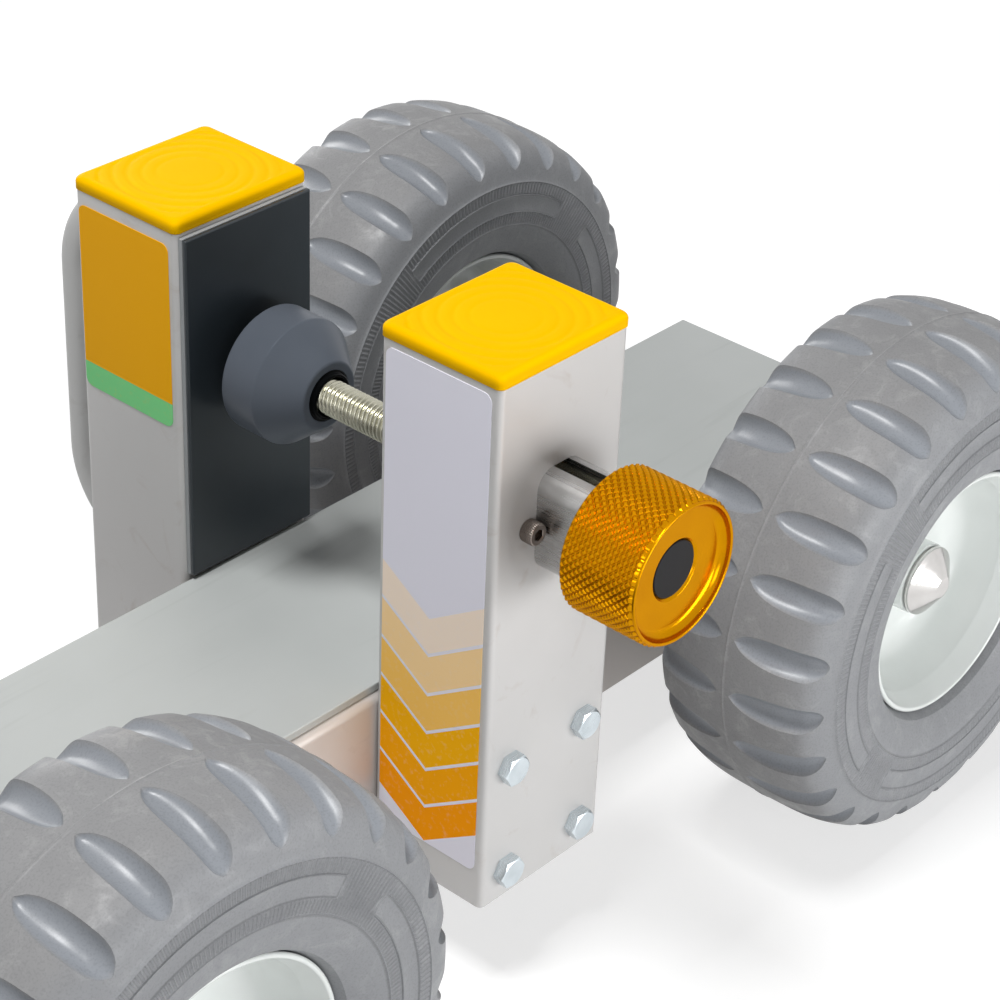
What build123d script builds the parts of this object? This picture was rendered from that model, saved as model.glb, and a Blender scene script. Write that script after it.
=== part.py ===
from build123d import *
import math
import os

# Slab dolly, in millimetres. +X runs along the deck, -Y is the front with the knob, +Z is up.
# The origin is on the floor under the middle of the wheelbase. The four wheels stand on z = 0.

# Wheels
wheelbase = 457.2
track = 299.0
tyre_radius = 122.0
tyre_width = 92.0
tyre_bore_radius = 56.4
tyre_shoulder_round = 26.0
tyre_bead_round = 22.0
rim_lip_inset = 8.0
rim_lip_rise = 3.6
rim_lip_thickness = 2.6
rim_flare_length = 10.0
rim_wall_thickness = 3.0
rim_wall_taper = 6.8
rim_neck_round = 8.0
disc_thickness = 6.0

# Hubs and stub axles
hub_radius = 17.2
hub_outer_reach = 20.5
hub_inner_reach = 24.0
bearing_radius = 11.0
bearing_length = 10.0
bearing_stop = 1.5
axle_radius = 7.94
axle_shoulder_radius = 12.5
axle_plate_thickness = 6.0
axle_plate_width = 64.0
axle_plate_rise = 10.0
axle_plate_square_height = 48.0
axle_plate_top_radius = 17.0
axle_bolt_spread = 44.0
axle_bolt_rows = (18.0, 52.0)
washer_radius = 16.0
washer_thickness = 1.2
cap_base_radius = 16.8
cap_length = 9.6
cap_collar = 1.6
cap_tip_radius = 5.0
cap_collar_round = 0.8
cap_tip_round = 2.0
cap_grip = 5.0

# Deck
deck_top = 130.0
deck_length = 666.0
deck_width = 119.0
channel_height = 78.0
channel_wall = 4.0
channel_bend = 4.8
mat_thickness = 4.0
mat_edge = 2.35

# Posts and their caps
post_x = 20.0
post_width = 76.2
post_depth = 63.5
post_height = 254.0
post_wall = 4.0
post_corner = 3.0
post_drop = 2.0
post_bolt_spread = 46.0
post_bolt_rows = (12.0, 66.5)
cap_thickness = 6.5
cap_overhang = 0.5
cap_edge_round = 2.8
cap_plug_depth = 16.0
cap_plug_wall = 3.0

# Stickers and the rear pad
label_thickness = 0.3
label_corner = 4.0
front_label_width = 56.0
front_label_height = 232.5
front_label_top_gap = 3.0
front_label_shift = 0.5
rear_label_width = 56.4
rear_label_height = 88.5
rear_label_top_gap = 6.0
rear_label_shift = 1.0
pad_width = 73.0
pad_plate_thickness = 2.3
pad_face_thickness = 2.2
pad_top_gap = 1.5
pad_floor_gap = 2.1

# Carry handle
handle_bar_radius = 12.5
handle_reach = 38.0
handle_top_gap = 26.0
handle_spread = 167.0
handle_bend = 36.0
handle_screw_depth = 17.0

# Clamp
clamp_rise = 100.0
rod_radius = 7.94
tube_width = 27.4
tube_height = 46.4
tube_corner = 9.0
tube_wall = 3.0
tube_reach = 36.5
tube_slot_width = 9.0
tube_slot_inset = 5.5
clamp_nut_length = 36.5
tube_screw_offset = 5.4
tube_screw_length = 12.0
puck_open_gap = 11.5
puck_radius = 29.0
puck_length = 36.5
puck_cylinder = 19.5
puck_neck_radius = 15.5
puck_shoulder_round = 4.0
puck_edge_round = 1.5
puck_bore_depth = 23.0
puck_chamber_gap = 0.6
puck_chamber_length = 6.0
puck_chamber_start = 12.0
grommet_wall = 2.8
grommet_hole_gap = 1.06
grommet_length = 5.0
grommet_round = 1.0
ring_overhang = 2.46
ring_thickness = 1.6
ring_groove_depth = 0.94
ring_offset = 1.0

# Knob
knob_radius = 31.8
knob_length = 38.0
knob_overlap = 9.5
knob_bore_depth = 21.5
knob_boss_length = 8.0
knob_rod_depth = 2.0
knob_rim = 2.55
knob_dish_depth = 4.7
knob_dish_round = 4.0
knob_edge_chamfer = 1.2
insert_radius = 12.5
insert_recess = 2.8
insert_thickness = 2.3
knob_screw_pocket = 4.2
knob_screw_reach = 14.0

# Fasteners: hex bolts and nuts, socket screws (across flats or head radius, head height)
bolt_radius = 4.0
bolt_head_flats = 13.0
bolt_head_height = 5.3
hex_face_share = 0.95
hex_chamfer_angle = 30.0
nut_height = 6.5
bolt_tail = 2.0
socket_head_radius = 6.5
socket_head_height = 8.0
socket_head_round = 0.6
socket_flats = 6.0
socket_depth = 4.0
tube_screw_radius = 3.0
tube_screw_head_radius = 5.0
tube_screw_head_height = 6.4
tube_screw_socket_flats = 5.0
tube_screw_socket_depth = 3.0
knob_screw_radius = 3.0
knob_screw_head_radius = 5.2
knob_screw_head_height = 4.0
knob_screw_socket_flats = 4.0
knob_screw_socket_depth = 2.0

# Clearances
seat_gap = 0.05
running_gap = 0.06
thrust_gap = 0.1
hole_gap = 0.3
rod_wall_gap = 0.66
puck_bore_gap = 0.36
grommet_gap = 0.1
knob_bore_gap = 0.5
knob_boss_gap = 0.6
insert_gap = 0.1
pocket_gap = 0.4
plug_gap = 0.3
rod_end_gap = 0.5

# How far a cutting shape runs past the wall that it cuts
cut_over = 1.0

# Places worked out from the sizes above
axle_height = tyre_radius
half_track = track / 2
half_deck = deck_width / 2
channel_top = deck_top - mat_thickness
channel_bottom = channel_top - channel_height
channel_inside = half_deck - channel_wall
post_bottom = channel_bottom - post_drop
post_top = post_bottom + post_height
post_outside = half_deck + post_depth
post_inner_face = half_deck + post_wall
post_outer_wall = post_outside - post_wall
post_left_face = post_x - post_width / 2
mat_width = deck_width - 2 * mat_edge
rim_lip_radius = tyre_bore_radius + rim_lip_rise
disc_radius = tyre_bore_radius - seat_gap - rim_wall_thickness - rim_wall_taper
handle_high = post_top - handle_top_gap
handle_low = handle_high - handle_spread
tube_screw_side = tube_width / 2 + tube_screw_offset
tube_corner_reach = math.hypot(tube_width / 2 - tube_corner, tube_height / 2 - tube_corner) + tube_corner
knob_bore_radius = tube_corner_reach + knob_bore_gap
knob_boss_radius = tube_width / 2 - tube_wall - knob_boss_gap
grommet_hole_radius = rod_radius + grommet_hole_gap
grommet_radius = grommet_hole_radius + grommet_wall
ring_groove_radius = rod_radius - ring_groove_depth
ring_radius = rod_radius + ring_overhang
puck_chamber_radius = ring_radius + puck_chamber_gap
front_label_y = -half_deck - post_depth / 2 + front_label_shift
rear_label_y = half_deck + post_depth / 2 + rear_label_shift
clamp_height = deck_top + clamp_rise
pad_face_y = half_deck - pad_plate_thickness - pad_face_thickness
puck_face = pad_face_y - puck_open_gap
puck_back = puck_face - puck_length
tube_end = post_outside + tube_reach
knob_back = tube_end - knob_overlap
knob_front = knob_back + knob_length
knob_floor = knob_back + knob_bore_depth
rod_knob_end = knob_floor + knob_rod_depth
hub_inner_end = half_track - hub_inner_reach
hub_outer_end = half_track + hub_outer_reach
axle_shoulder_end = hub_inner_end - 2 * thrust_gap - washer_thickness
cap_base = hub_outer_end + 2 * thrust_gap + washer_thickness
axle_end = cap_base + cap_grip


def bar(radius, start, end, x=0.0, z=0.0):
    """A round bar along Y, from one y to another, with its axis at x and z."""
    return Pos(x, (start + end) / 2, z) * Rot(90, 0, 0) * Cylinder(radius, abs(end - start))


def ring(outer, inner, start, end):
    """A round sleeve along Y about the Y axis."""
    return bar(outer, start, end) - bar(inner, start, end)


def outline(points):
    """A closed outline from (x, y, corner radius) points, with its corners rounded."""
    face = make_face(Polyline(*[(x, y) for x, y, _ in points], close=True))
    for x, y, corner in points:
        if corner:
            face = fillet(face.vertices().sort_by_distance((x, y, 0))[0], corner)
    return face


def turned(points):
    """A piece turned about the Y axis from (radius, y, corner radius) points."""
    return revolve(outline(points), Axis.Y)


def hexagon(flats, height):
    """A hexagon standing on z = 0, with the corners of its top turned off."""
    prism = extrude(RegularPolygon(flats / 2, 6, major_radius=False), height)
    corner = flats / math.sqrt(3)
    blank = Cylinder(corner, height, align=(Align.CENTER, Align.CENTER, Align.MIN))
    turn_off = corner - hex_face_share * flats / 2
    turn_down = turn_off * math.tan(math.radians(hex_chamfer_angle))
    top = blank.faces().sort_by(Axis.Z)[-1]
    blank = chamfer(top.edges(), turn_off, turn_down, reference=top)
    return prism & blank


def along_y(piece, x, y, z):
    """Lay a piece that stands on z = 0 down along +Y, with its base at x, y and z."""
    return Pos(x, y, z) * Rot(-90, 0, 0) * piece


def hex_bolt(length):
    """A hex bolt with its head above z = 0 and its shank below."""
    shank = Cylinder(bolt_radius, length, align=(Align.CENTER, Align.CENTER, Align.MAX))
    return hexagon(bolt_head_flats, bolt_head_height) + shank


def hex_nut():
    """A nut standing on z = 0, with a bore that the bolt's shank fits."""
    bore = Cylinder(bolt_radius + seat_gap, nut_height, align=(Align.CENTER, Align.CENTER, Align.MIN))
    return hexagon(bolt_head_flats, nut_height) - bore


def socket_screw(radius, length, head_radius, head_height, flats, depth):
    """A socket screw with its head above z = 0, a hexagon socket in it, and its shank below."""
    head = Cylinder(head_radius, head_height, align=(Align.CENTER, Align.CENTER, Align.MIN))
    head = fillet(head.edges().sort_by(Axis.Z)[-1], socket_head_round)
    shank = Cylinder(radius, length, align=(Align.CENTER, Align.CENTER, Align.MAX))
    socket = extrude(RegularPolygon(flats / 2, 6, major_radius=False), depth)
    return head + shank - Pos(0, 0, head_height - depth) * socket


def outwards(side, piece):
    """Turn a piece made for the rear (+Y) side to face its own side."""
    return piece if side == "rear" else Rot(0, 0, 180) * piece


def post_bolt_places(side):
    """The x and z of a post's four bolts, as seen in the frame that outwards() turns."""
    middle = post_x if side == "rear" else -post_x
    spread = (-post_bolt_spread / 2, post_bolt_spread / 2)
    return [(middle + dx, channel_bottom + row) for dx in spread for row in post_bolt_rows]


def axle_bolt_places(wheel_x):
    """The x and z of the four bolts of one axle plate."""
    spread = (-axle_bolt_spread / 2, axle_bolt_spread / 2)
    return [(wheel_x + dx, channel_bottom + row) for dx in spread for row in axle_bolt_rows]


def bolt_holes(side, places, start, end):
    """Clearance holes along Y through the walls between two distances from the deck's middle."""
    return [outwards(side, bar(bolt_radius + hole_gap, start, end, x, z)) for x, z in places]


def deck_channel():
    """An inverted U along the deck, with rounded bends and a hole for each bolt."""
    outer = outline([
        (-half_deck, channel_bottom, 0),
        (half_deck, channel_bottom, 0),
        (half_deck, channel_top, channel_bend),
        (-half_deck, channel_top, channel_bend),
    ])
    inner = outline([
        (-channel_inside, channel_bottom, 0),
        (channel_inside, channel_bottom, 0),
        (channel_inside, channel_top - channel_wall, channel_bend - channel_wall),
        (-channel_inside, channel_top - channel_wall, channel_bend - channel_wall),
    ])
    channel = extrude(Plane.YZ * (outer - inner), deck_length / 2, both=True)
    for side in sides:
        places = post_bolt_places(side)
        for wheel_x in ends.values():
            places = places + axle_bolt_places(wheel_x)
        channel -= bolt_holes(side, places, channel_inside - cut_over, half_deck + cut_over)
    return channel


def deck_mat():
    """The flat mat on the channel's top face."""
    return Pos(0, 0, channel_top + mat_thickness / 2) * Box(deck_length, mat_width, mat_thickness)


def post(side):
    """A square tube bolted to the channel's side, with its bolt holes."""
    section = RectangleRounded(post_width, post_depth, post_corner)
    hollow = Rectangle(post_width - 2 * post_wall, post_depth - 2 * post_wall)
    middle = half_deck + post_depth / 2
    x = post_x if side == "rear" else -post_x
    tube = Pos(x, middle, post_bottom) * extrude(section - hollow, post_height)
    tube = outwards(side, tube)
    return tube - bolt_holes(side, post_bolt_places(side), half_deck - cut_over, post_outside + cut_over)


def front_post():
    """The front post, with holes for the guide tube, its screw and the rod."""
    outer_wall = (-post_outside - cut_over, -post_outer_wall + cut_over)
    inner_wall = (-post_inner_face - cut_over, -half_deck + cut_over)
    tube_hole = Pos(post_x, 0, clamp_height) * tube_block(seat_gap, *outer_wall)
    rod_hole = bar(rod_radius + rod_wall_gap, *inner_wall, post_x, clamp_height)
    screw_x = post_x - tube_screw_side
    screw_hole = bar(tube_screw_radius + seat_gap, *outer_wall, screw_x, clamp_height)
    return post("front") - tube_hole - rod_hole - screw_hole


def rear_post():
    """The rear post, with holes for the handle's screws."""
    tube = post("rear")
    for z in (handle_low, handle_high):
        tube -= bar(bolt_radius + hole_gap, post_outer_wall - cut_over, post_outside + cut_over, post_x, z)
    return tube


def post_cap(side):
    """A moulded cap over the post's top, with a hollow plug that goes into the tube."""
    top = extrude(RectangleRounded(post_width + 2 * cap_overhang, post_depth + 2 * cap_overhang,
                                   post_corner + cap_overhang), cap_thickness)
    top = fillet(top.edges().group_by(Axis.Z)[-1], cap_edge_round)
    plug_width = post_width - 2 * post_wall - 2 * plug_gap
    plug_depth = post_depth - 2 * post_wall - 2 * plug_gap
    plug = Rectangle(plug_width, plug_depth)
    plug -= Rectangle(plug_width - 2 * cap_plug_wall, plug_depth - 2 * cap_plug_wall)
    cap = top + extrude(plug, -cap_plug_depth)
    middle = half_deck + post_depth / 2
    return Pos(post_x, middle if side == "rear" else -middle, post_top) * cap


def post_bolts(side):
    """Four bolts through a post and the channel's wall, heads on the post's outer face."""
    length = post_outside - channel_inside + nut_height + bolt_tail
    return [outwards(side, along_y(hex_bolt(length), x, post_outside, z)) for x, z in post_bolt_places(side)]


def nuts(side, places):
    """Nuts on the inside of the channel's wall."""
    seat = channel_inside - nut_height
    return [outwards(side, along_y(hex_nut(), x, seat, z)) for x, z in places]


def label(width, height, y, top_gap):
    """A thin sticker with rounded corners on the left face of a post."""
    sheet = extrude(RectangleRounded(height, width, label_corner), label_thickness)
    z = post_top - top_gap - height / 2
    return Pos(post_left_face, y, z) * Rot(0, -90, 0) * sheet


def pad_sheet(thickness, back):
    """A flat sheet on the rear post's inner face, with its back at a distance from the deck's middle."""
    low = deck_top + pad_floor_gap
    high = post_top - pad_top_gap
    return Pos(post_x, back - thickness / 2, (low + high) / 2) * Box(pad_width, thickness, high - low)


def carry_handle():
    """A round bar bent to a long grip, with tapped ends that stand on the rear post."""
    grip_y = post_outside + handle_reach
    path = FilletPolyline(
        (post_x, post_outside, handle_low),
        (post_x, grip_y, handle_low),
        (post_x, grip_y, handle_high),
        (post_x, post_outside, handle_high),
        radius=handle_bend,
    )
    end_plane = Plane(origin=(post_x, post_outside, handle_low), z_dir=(0, 1, 0))
    handle = sweep(end_plane * Circle(handle_bar_radius), path)
    hole_end = post_outside + handle_screw_depth + cut_over
    for z in (handle_low, handle_high):
        handle -= bar(bolt_radius + seat_gap, post_outside - cut_over, hole_end, post_x, z)
    return handle


def handle_screws():
    """Socket screws from inside the rear post into the handle's ends."""
    length = post_wall + handle_screw_depth
    screw = socket_screw(bolt_radius, length, socket_head_radius, socket_head_height,
                         socket_flats, socket_depth)
    return [Pos(post_x, post_outer_wall, z) * Rot(90, 0, 0) * screw for z in (handle_low, handle_high)]


def tube_block(grow, start, end):
    """A block along Y with the guide tube's upright outline, grown all round by some distance."""
    section = RectangleRounded(tube_width + 2 * grow, tube_height + 2 * grow, tube_corner + grow)
    return Pos(0, max(start, end), 0) * extrude(Plane.XZ * section, abs(end - start))


def guide_tube():
    """A polished upright tube out of the front post, with a slot along its top to its open end."""
    walls = (-post_inner_face, -tube_end)
    tube = tube_block(0, *walls) - tube_block(-tube_wall, *walls)
    slot_start = -post_outside + tube_slot_inset
    slot_end = -tube_end - cut_over
    slot = Box(tube_slot_width, slot_start - slot_end, 3 * tube_wall)
    slot = Pos(0, (slot_start + slot_end) / 2, tube_height / 2) * slot
    return Pos(post_x, 0, clamp_height) * (tube - slot)


def tube_screw():
    """A socket screw in the post's face beside the guide tube."""
    screw = socket_screw(tube_screw_radius, tube_screw_length, tube_screw_head_radius, tube_screw_head_height,
                         tube_screw_socket_flats, tube_screw_socket_depth)
    place = Pos(post_x - tube_screw_side, -post_outside, clamp_height)
    return place * Rot(90, 0, 0) * screw


def clamp_nut():
    """The long nut inside the guide tube that the rod runs in."""
    ends = (-post_inner_face, -post_inner_face - clamp_nut_length)
    nut = tube_block(-tube_wall - seat_gap, *ends) - bar(rod_radius + running_gap, *ends)
    return Pos(post_x, 0, clamp_height) * nut


def clamp_puck():
    """The pressure puck: a short cylinder and a cone, bored for the rod's end and the snap ring."""
    bore = rod_radius + puck_bore_gap
    chamber = puck_back + puck_chamber_start
    seat = grommet_radius + grommet_gap
    puck = turned([
        (0, puck_face, 0),
        (puck_radius, puck_face, puck_edge_round),
        (puck_radius, puck_face - puck_cylinder, puck_shoulder_round),
        (puck_neck_radius, puck_back, 0),
        (seat, puck_back, 0),
        (seat, puck_back + grommet_length, 0),
        (bore, puck_back + grommet_length, 0),
        (bore, chamber, 0),
        (puck_chamber_radius, chamber, 0),
        (puck_chamber_radius, chamber + puck_chamber_length, 0),
        (bore, chamber + puck_chamber_length, 0),
        (bore, puck_back + puck_bore_depth, 0),
        (0, puck_back + puck_bore_depth, 0),
    ])
    return Pos(post_x, 0, clamp_height) * puck


def puck_grommet():
    """The rubber ring in the puck's neck, with a rounded lip."""
    grommet = turned([
        (grommet_hole_radius, puck_back, grommet_round),
        (grommet_radius, puck_back, grommet_round),
        (grommet_radius, puck_back + grommet_length, 0),
        (grommet_hole_radius, puck_back + grommet_length, 0),
    ])
    return Pos(post_x, 0, clamp_height) * grommet


def threaded_rod():
    """The clamp's rod, grooved for the snap ring at the puck and tapped for the knob's screw."""
    puck_end = puck_back + puck_bore_depth - rod_end_gap
    groove = puck_back + puck_chamber_start + ring_offset
    rod = bar(rod_radius, -rod_knob_end, puck_end)
    rod -= ring(2 * rod_radius, ring_groove_radius, groove - thrust_gap, groove + ring_thickness + thrust_gap)
    tapped = knob_screw_reach + cut_over - (knob_web_front() - rod_knob_end)
    rod -= bar(knob_screw_radius + seat_gap, -rod_knob_end - cut_over, -rod_knob_end + tapped)
    return Pos(post_x, 0, clamp_height) * rod


def knob_web_front():
    """Distance from the deck's middle to the face that the knob screw's head sits on."""
    return knob_front - knob_dish_depth - insert_recess - knob_screw_pocket


def clamp_knob():
    """The turned knob: a bore over the guide tube, a boss on the rod and a dished front."""
    dish = -knob_front + knob_dish_depth
    recess = dish + insert_recess
    web = -knob_web_front()
    rod_seat = -rod_knob_end - seat_gap
    boss_end = -knob_floor + knob_boss_length
    knob = turned([
        (knob_radius, -knob_back, 0),
        (knob_radius, -knob_front + knob_edge_chamfer, 0),
        (knob_radius - knob_edge_chamfer, -knob_front, 0),
        (knob_radius - knob_rim, -knob_front, 0),
        (knob_radius - knob_rim, dish, knob_dish_round),
        (insert_radius + insert_gap, dish, 0),
        (insert_radius + insert_gap, recess, 0),
        (knob_screw_head_radius + pocket_gap, recess, 0),
        (knob_screw_head_radius + pocket_gap, web, 0),
        (knob_screw_radius + seat_gap, web, 0),
        (knob_screw_radius + seat_gap, rod_seat, 0),
        (rod_radius + seat_gap, rod_seat, 0),
        (rod_radius + seat_gap, boss_end, 0),
        (knob_boss_radius, boss_end, 0),
        (knob_boss_radius, -knob_floor, 0),
        (knob_bore_radius, -knob_floor, 0),
        (knob_bore_radius, -knob_back, 0),
    ])
    return Pos(post_x, 0, clamp_height) * knob


def knob_insert():
    """The plain disc in the knob's front, with a rounded edge."""
    back = -knob_front + knob_dish_depth + insert_recess
    disc = turned([
        (0, back, 0),
        (insert_radius, back, 0),
        (insert_radius, back - insert_thickness, insert_thickness / 4),
        (0, back - insert_thickness, 0),
    ])
    return Pos(post_x, 0, clamp_height) * disc


def knob_screw():
    """The screw behind the disc that holds the knob on the rod."""
    screw = socket_screw(knob_screw_radius, knob_screw_reach, knob_screw_head_radius, knob_screw_head_height,
                         knob_screw_socket_flats, knob_screw_socket_depth)
    return Pos(post_x, -knob_web_front(), clamp_height) * Rot(90, 0, 0) * screw


def snap_ring():
    """The ring in the rod's groove that keeps the puck on the rod."""
    start = puck_back + puck_chamber_start + ring_offset
    return Pos(post_x, 0, clamp_height) * ring(ring_radius, ring_groove_radius + seat_gap, start,
                                               start + ring_thickness)


def tyre():
    """A solid tyre as a plain ring: rounded shoulders, and rounded beads round the rim's lips."""
    low = half_track - tyre_width / 2
    high = half_track + tyre_width / 2
    return turned([
        (tyre_bore_radius, low, tyre_bead_round),
        (tyre_radius, low, tyre_shoulder_round),
        (tyre_radius, high, tyre_shoulder_round),
        (tyre_bore_radius, high, tyre_bead_round),
    ])


def rim():
    """A rolled rim with flared lips, thick in the middle where the disc is welded into it."""
    half = tyre_width / 2 - rim_lip_inset
    barrel = tyre_bore_radius - seat_gap
    lip_inside = rim_lip_radius - rim_lip_thickness
    neck = barrel - rim_wall_thickness
    disc = disc_thickness / 2
    near_lip = half_track + half
    far_lip = half_track - half
    return turned([
        (rim_lip_radius, near_lip, 0),
        (barrel, near_lip - rim_flare_length, rim_neck_round),
        (barrel, far_lip + rim_flare_length, rim_neck_round),
        (rim_lip_radius, far_lip, 0),
        (lip_inside, far_lip, 0),
        (neck, far_lip + rim_flare_length, rim_neck_round),
        (disc_radius, half_track - disc, 0),
        (disc_radius, half_track + disc, 0),
        (neck, near_lip - rim_flare_length, rim_neck_round),
        (lip_inside, near_lip, 0),
    ])


def wheel_disc():
    """The flat disc between the rim and the hub tube."""
    disc = disc_thickness / 2
    return ring(disc_radius - seat_gap, hub_radius + seat_gap, half_track - disc, half_track + disc)


def hub_tube():
    """The hub's tube through the disc, with a bearing seat at each end."""
    seat = bearing_radius + seat_gap
    return turned([
        (hub_radius, hub_inner_end, 0),
        (seat, hub_inner_end, 0),
        (seat, hub_inner_end + bearing_length, 0),
        (seat - bearing_stop, hub_inner_end + bearing_length, 0),
        (seat - bearing_stop, hub_outer_end - bearing_length, 0),
        (seat, hub_outer_end - bearing_length, 0),
        (seat, hub_outer_end, 0),
        (hub_radius, hub_outer_end, 0),
    ])


def hub_bearings():
    """Two sleeve bearings, one in each end of the hub."""
    inner = ring(bearing_radius, axle_radius + running_gap, hub_inner_end, hub_inner_end + bearing_length)
    outer = ring(bearing_radius, axle_radius + running_gap, hub_outer_end - bearing_length, hub_outer_end)
    return [inner, outer]


def stub_axle():
    """A bolted plate with a shoulder and a spindle. The plate is drawn in to a round top at the axle."""
    low = channel_bottom + axle_plate_rise - axle_height
    square = Rectangle(axle_plate_width, axle_plate_square_height)
    square = Pos(0, low + axle_plate_square_height / 2) * square
    plate = make_hull(square.edges() + Circle(axle_plate_top_radius).edges())
    plate = Pos(0, half_deck, 0) * extrude(Plane.XZ * plate, -axle_plate_thickness)
    shoulder = bar(axle_shoulder_radius, half_deck, axle_shoulder_end)
    spindle = bar(axle_radius, axle_shoulder_end, axle_end)
    axle = plate + shoulder + spindle
    plate_walls = (half_deck - cut_over, half_deck + axle_plate_thickness + cut_over)
    for x, z in axle_bolt_places(0):
        axle -= bar(bolt_radius + hole_gap, *plate_walls, x, z - axle_height)
    return axle


def axle_washers():
    """A thrust washer at each end of the hub."""
    inner_start = axle_shoulder_end + thrust_gap
    outer_start = hub_outer_end + thrust_gap
    bore = axle_radius + hole_gap
    return [
        ring(washer_radius, bore, inner_start, inner_start + washer_thickness),
        ring(washer_radius, bore, outer_start, outer_start + washer_thickness),
    ]


def axle_cap():
    """The bright conical nut on the spindle's end."""
    return turned([
        (axle_radius + seat_gap, cap_base, 0),
        (cap_base_radius, cap_base, 0),
        (cap_base_radius, cap_base + cap_collar, cap_collar_round),
        (cap_tip_radius, cap_base + cap_length, cap_tip_round),
        (0, cap_base + cap_length, 0),
        (0, axle_end + seat_gap, 0),
        (axle_radius + seat_gap, axle_end + seat_gap, 0),
    ])


def axle_plate_bolts():
    """The bolts of all four axle plates, heads outside."""
    length = axle_plate_thickness + channel_wall + nut_height + bolt_tail
    face = half_deck + axle_plate_thickness
    bolts = []
    for side in sides:
        for wheel_x in ends.values():
            places = axle_bolt_places(wheel_x)
            bolts += [outwards(side, along_y(hex_bolt(length), x, face, z)) for x, z in places]
    return bolts


def axle_plate_nuts():
    """The nuts of all four axle plates, inside the channel."""
    group = []
    for side in sides:
        for wheel_x in ends.values():
            group += nuts(side, axle_bolt_places(wheel_x))
    return group


sides = ("front", "rear")
ends = {"left": -wheelbase / 2, "right": wheelbase / 2}

nodes = {
    "deck_channel": deck_channel(),
    "deck_mat": deck_mat(),
    "front_post": front_post(),
    "rear_post": rear_post(),
    "front_label": label(front_label_width, front_label_height, front_label_y, front_label_top_gap),
    "rear_label": label(rear_label_width, rear_label_height, rear_label_y, rear_label_top_gap),
    "pad_plate": pad_sheet(pad_plate_thickness, half_deck),
    "pad_face": pad_sheet(pad_face_thickness, half_deck - pad_plate_thickness),
    "carry_handle": carry_handle(),
    "handle_screws": handle_screws(),
    "guide_tube": guide_tube(),
    "tube_screw": tube_screw(),
    "clamp_nut": clamp_nut(),
    "clamp_puck": clamp_puck(),
    "puck_grommet": puck_grommet(),
    "threaded_rod": threaded_rod(),
    "puck_snap_ring": snap_ring(),
    "clamp_knob": clamp_knob(),
    "knob_insert": knob_insert(),
    "knob_screw": knob_screw(),
    "axle_plate_bolts": axle_plate_bolts(),
    "axle_plate_nuts": axle_plate_nuts(),
}
wheel_pieces = {
    "tyre": tyre(),
    "rim": rim(),
    "wheel_disc": wheel_disc(),
    "hub_tube": hub_tube(),
    "hub_bearings": hub_bearings(),
    "stub_axle": stub_axle(),
    "axle_washers": axle_washers(),
    "axle_cap": axle_cap(),
}
for side in sides:
    nodes[f"{side}_cap"] = post_cap(side)
    nodes[f"{side}_post_bolts"] = post_bolts(side)
    nodes[f"{side}_post_nuts"] = nuts(side, post_bolt_places(side))
    for end, wheel_x in ends.items():
        place = Pos(wheel_x, 0, axle_height)
        for name, piece in wheel_pieces.items():
            solids = piece if isinstance(piece, list) else [piece]
            nodes[f"{side}_{end}_{name}"] = [place * outwards(side, solid) for solid in solids]

os.makedirs("parts", exist_ok=True)
for name, piece in nodes.items():
    export_step(Compound(piece) if isinstance(piece, list) else piece, f"parts/{name}.step")
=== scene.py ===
"""The slab dolly's looks: surfaces worked out with numpy and procedural finishes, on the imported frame."""

import bpy
import numpy as np
from mathutils import Matrix, Vector


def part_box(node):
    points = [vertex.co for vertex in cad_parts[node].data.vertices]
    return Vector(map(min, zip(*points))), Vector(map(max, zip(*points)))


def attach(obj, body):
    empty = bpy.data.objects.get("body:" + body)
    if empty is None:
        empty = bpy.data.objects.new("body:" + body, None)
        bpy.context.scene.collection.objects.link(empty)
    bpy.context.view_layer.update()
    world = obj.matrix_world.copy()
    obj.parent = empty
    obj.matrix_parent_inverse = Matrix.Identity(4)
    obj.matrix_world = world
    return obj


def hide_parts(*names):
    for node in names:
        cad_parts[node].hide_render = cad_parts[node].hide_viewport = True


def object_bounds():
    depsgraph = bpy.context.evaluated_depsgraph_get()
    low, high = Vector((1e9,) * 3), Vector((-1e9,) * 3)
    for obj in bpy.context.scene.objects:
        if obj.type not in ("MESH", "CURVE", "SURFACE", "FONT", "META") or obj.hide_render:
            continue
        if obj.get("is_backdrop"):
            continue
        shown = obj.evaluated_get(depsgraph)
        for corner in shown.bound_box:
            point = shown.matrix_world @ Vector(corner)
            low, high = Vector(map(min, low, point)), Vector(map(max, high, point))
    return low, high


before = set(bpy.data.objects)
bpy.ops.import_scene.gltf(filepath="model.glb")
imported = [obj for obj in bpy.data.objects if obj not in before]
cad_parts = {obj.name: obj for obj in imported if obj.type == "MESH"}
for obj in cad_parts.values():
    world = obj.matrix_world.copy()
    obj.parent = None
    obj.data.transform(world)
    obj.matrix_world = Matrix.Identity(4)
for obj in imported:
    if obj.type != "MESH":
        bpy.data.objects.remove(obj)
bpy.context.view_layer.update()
scene = bpy.context.scene
MM = 0.001
TURN = 2 * np.pi

# Sizes below are in millimetres and angles in degrees, apart from a turn and its parts, in radians. A
# round is the radius of a rounded corner.

# The camera: its place, how it is turned, and its lens on the sensor's width.
CAMERA_PLACE = (-723.38, -734.84, 833.76)
CAMERA_YAW = 49.137
CAMERA_PITCH = 31.920
CAMERA_ROLL = 2.354
CAMERA_LENS = 102.02
CAMERA_SENSOR = 36.0

# The tyre's section is a superellipse, squarer at the bead. A run goes along it from the tread's middle.
TYRE_POWER = 3.5
BEAD_POWER = 4.6
TYRE_BORE = 56.8
SECTION_POINTS = 6001

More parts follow.
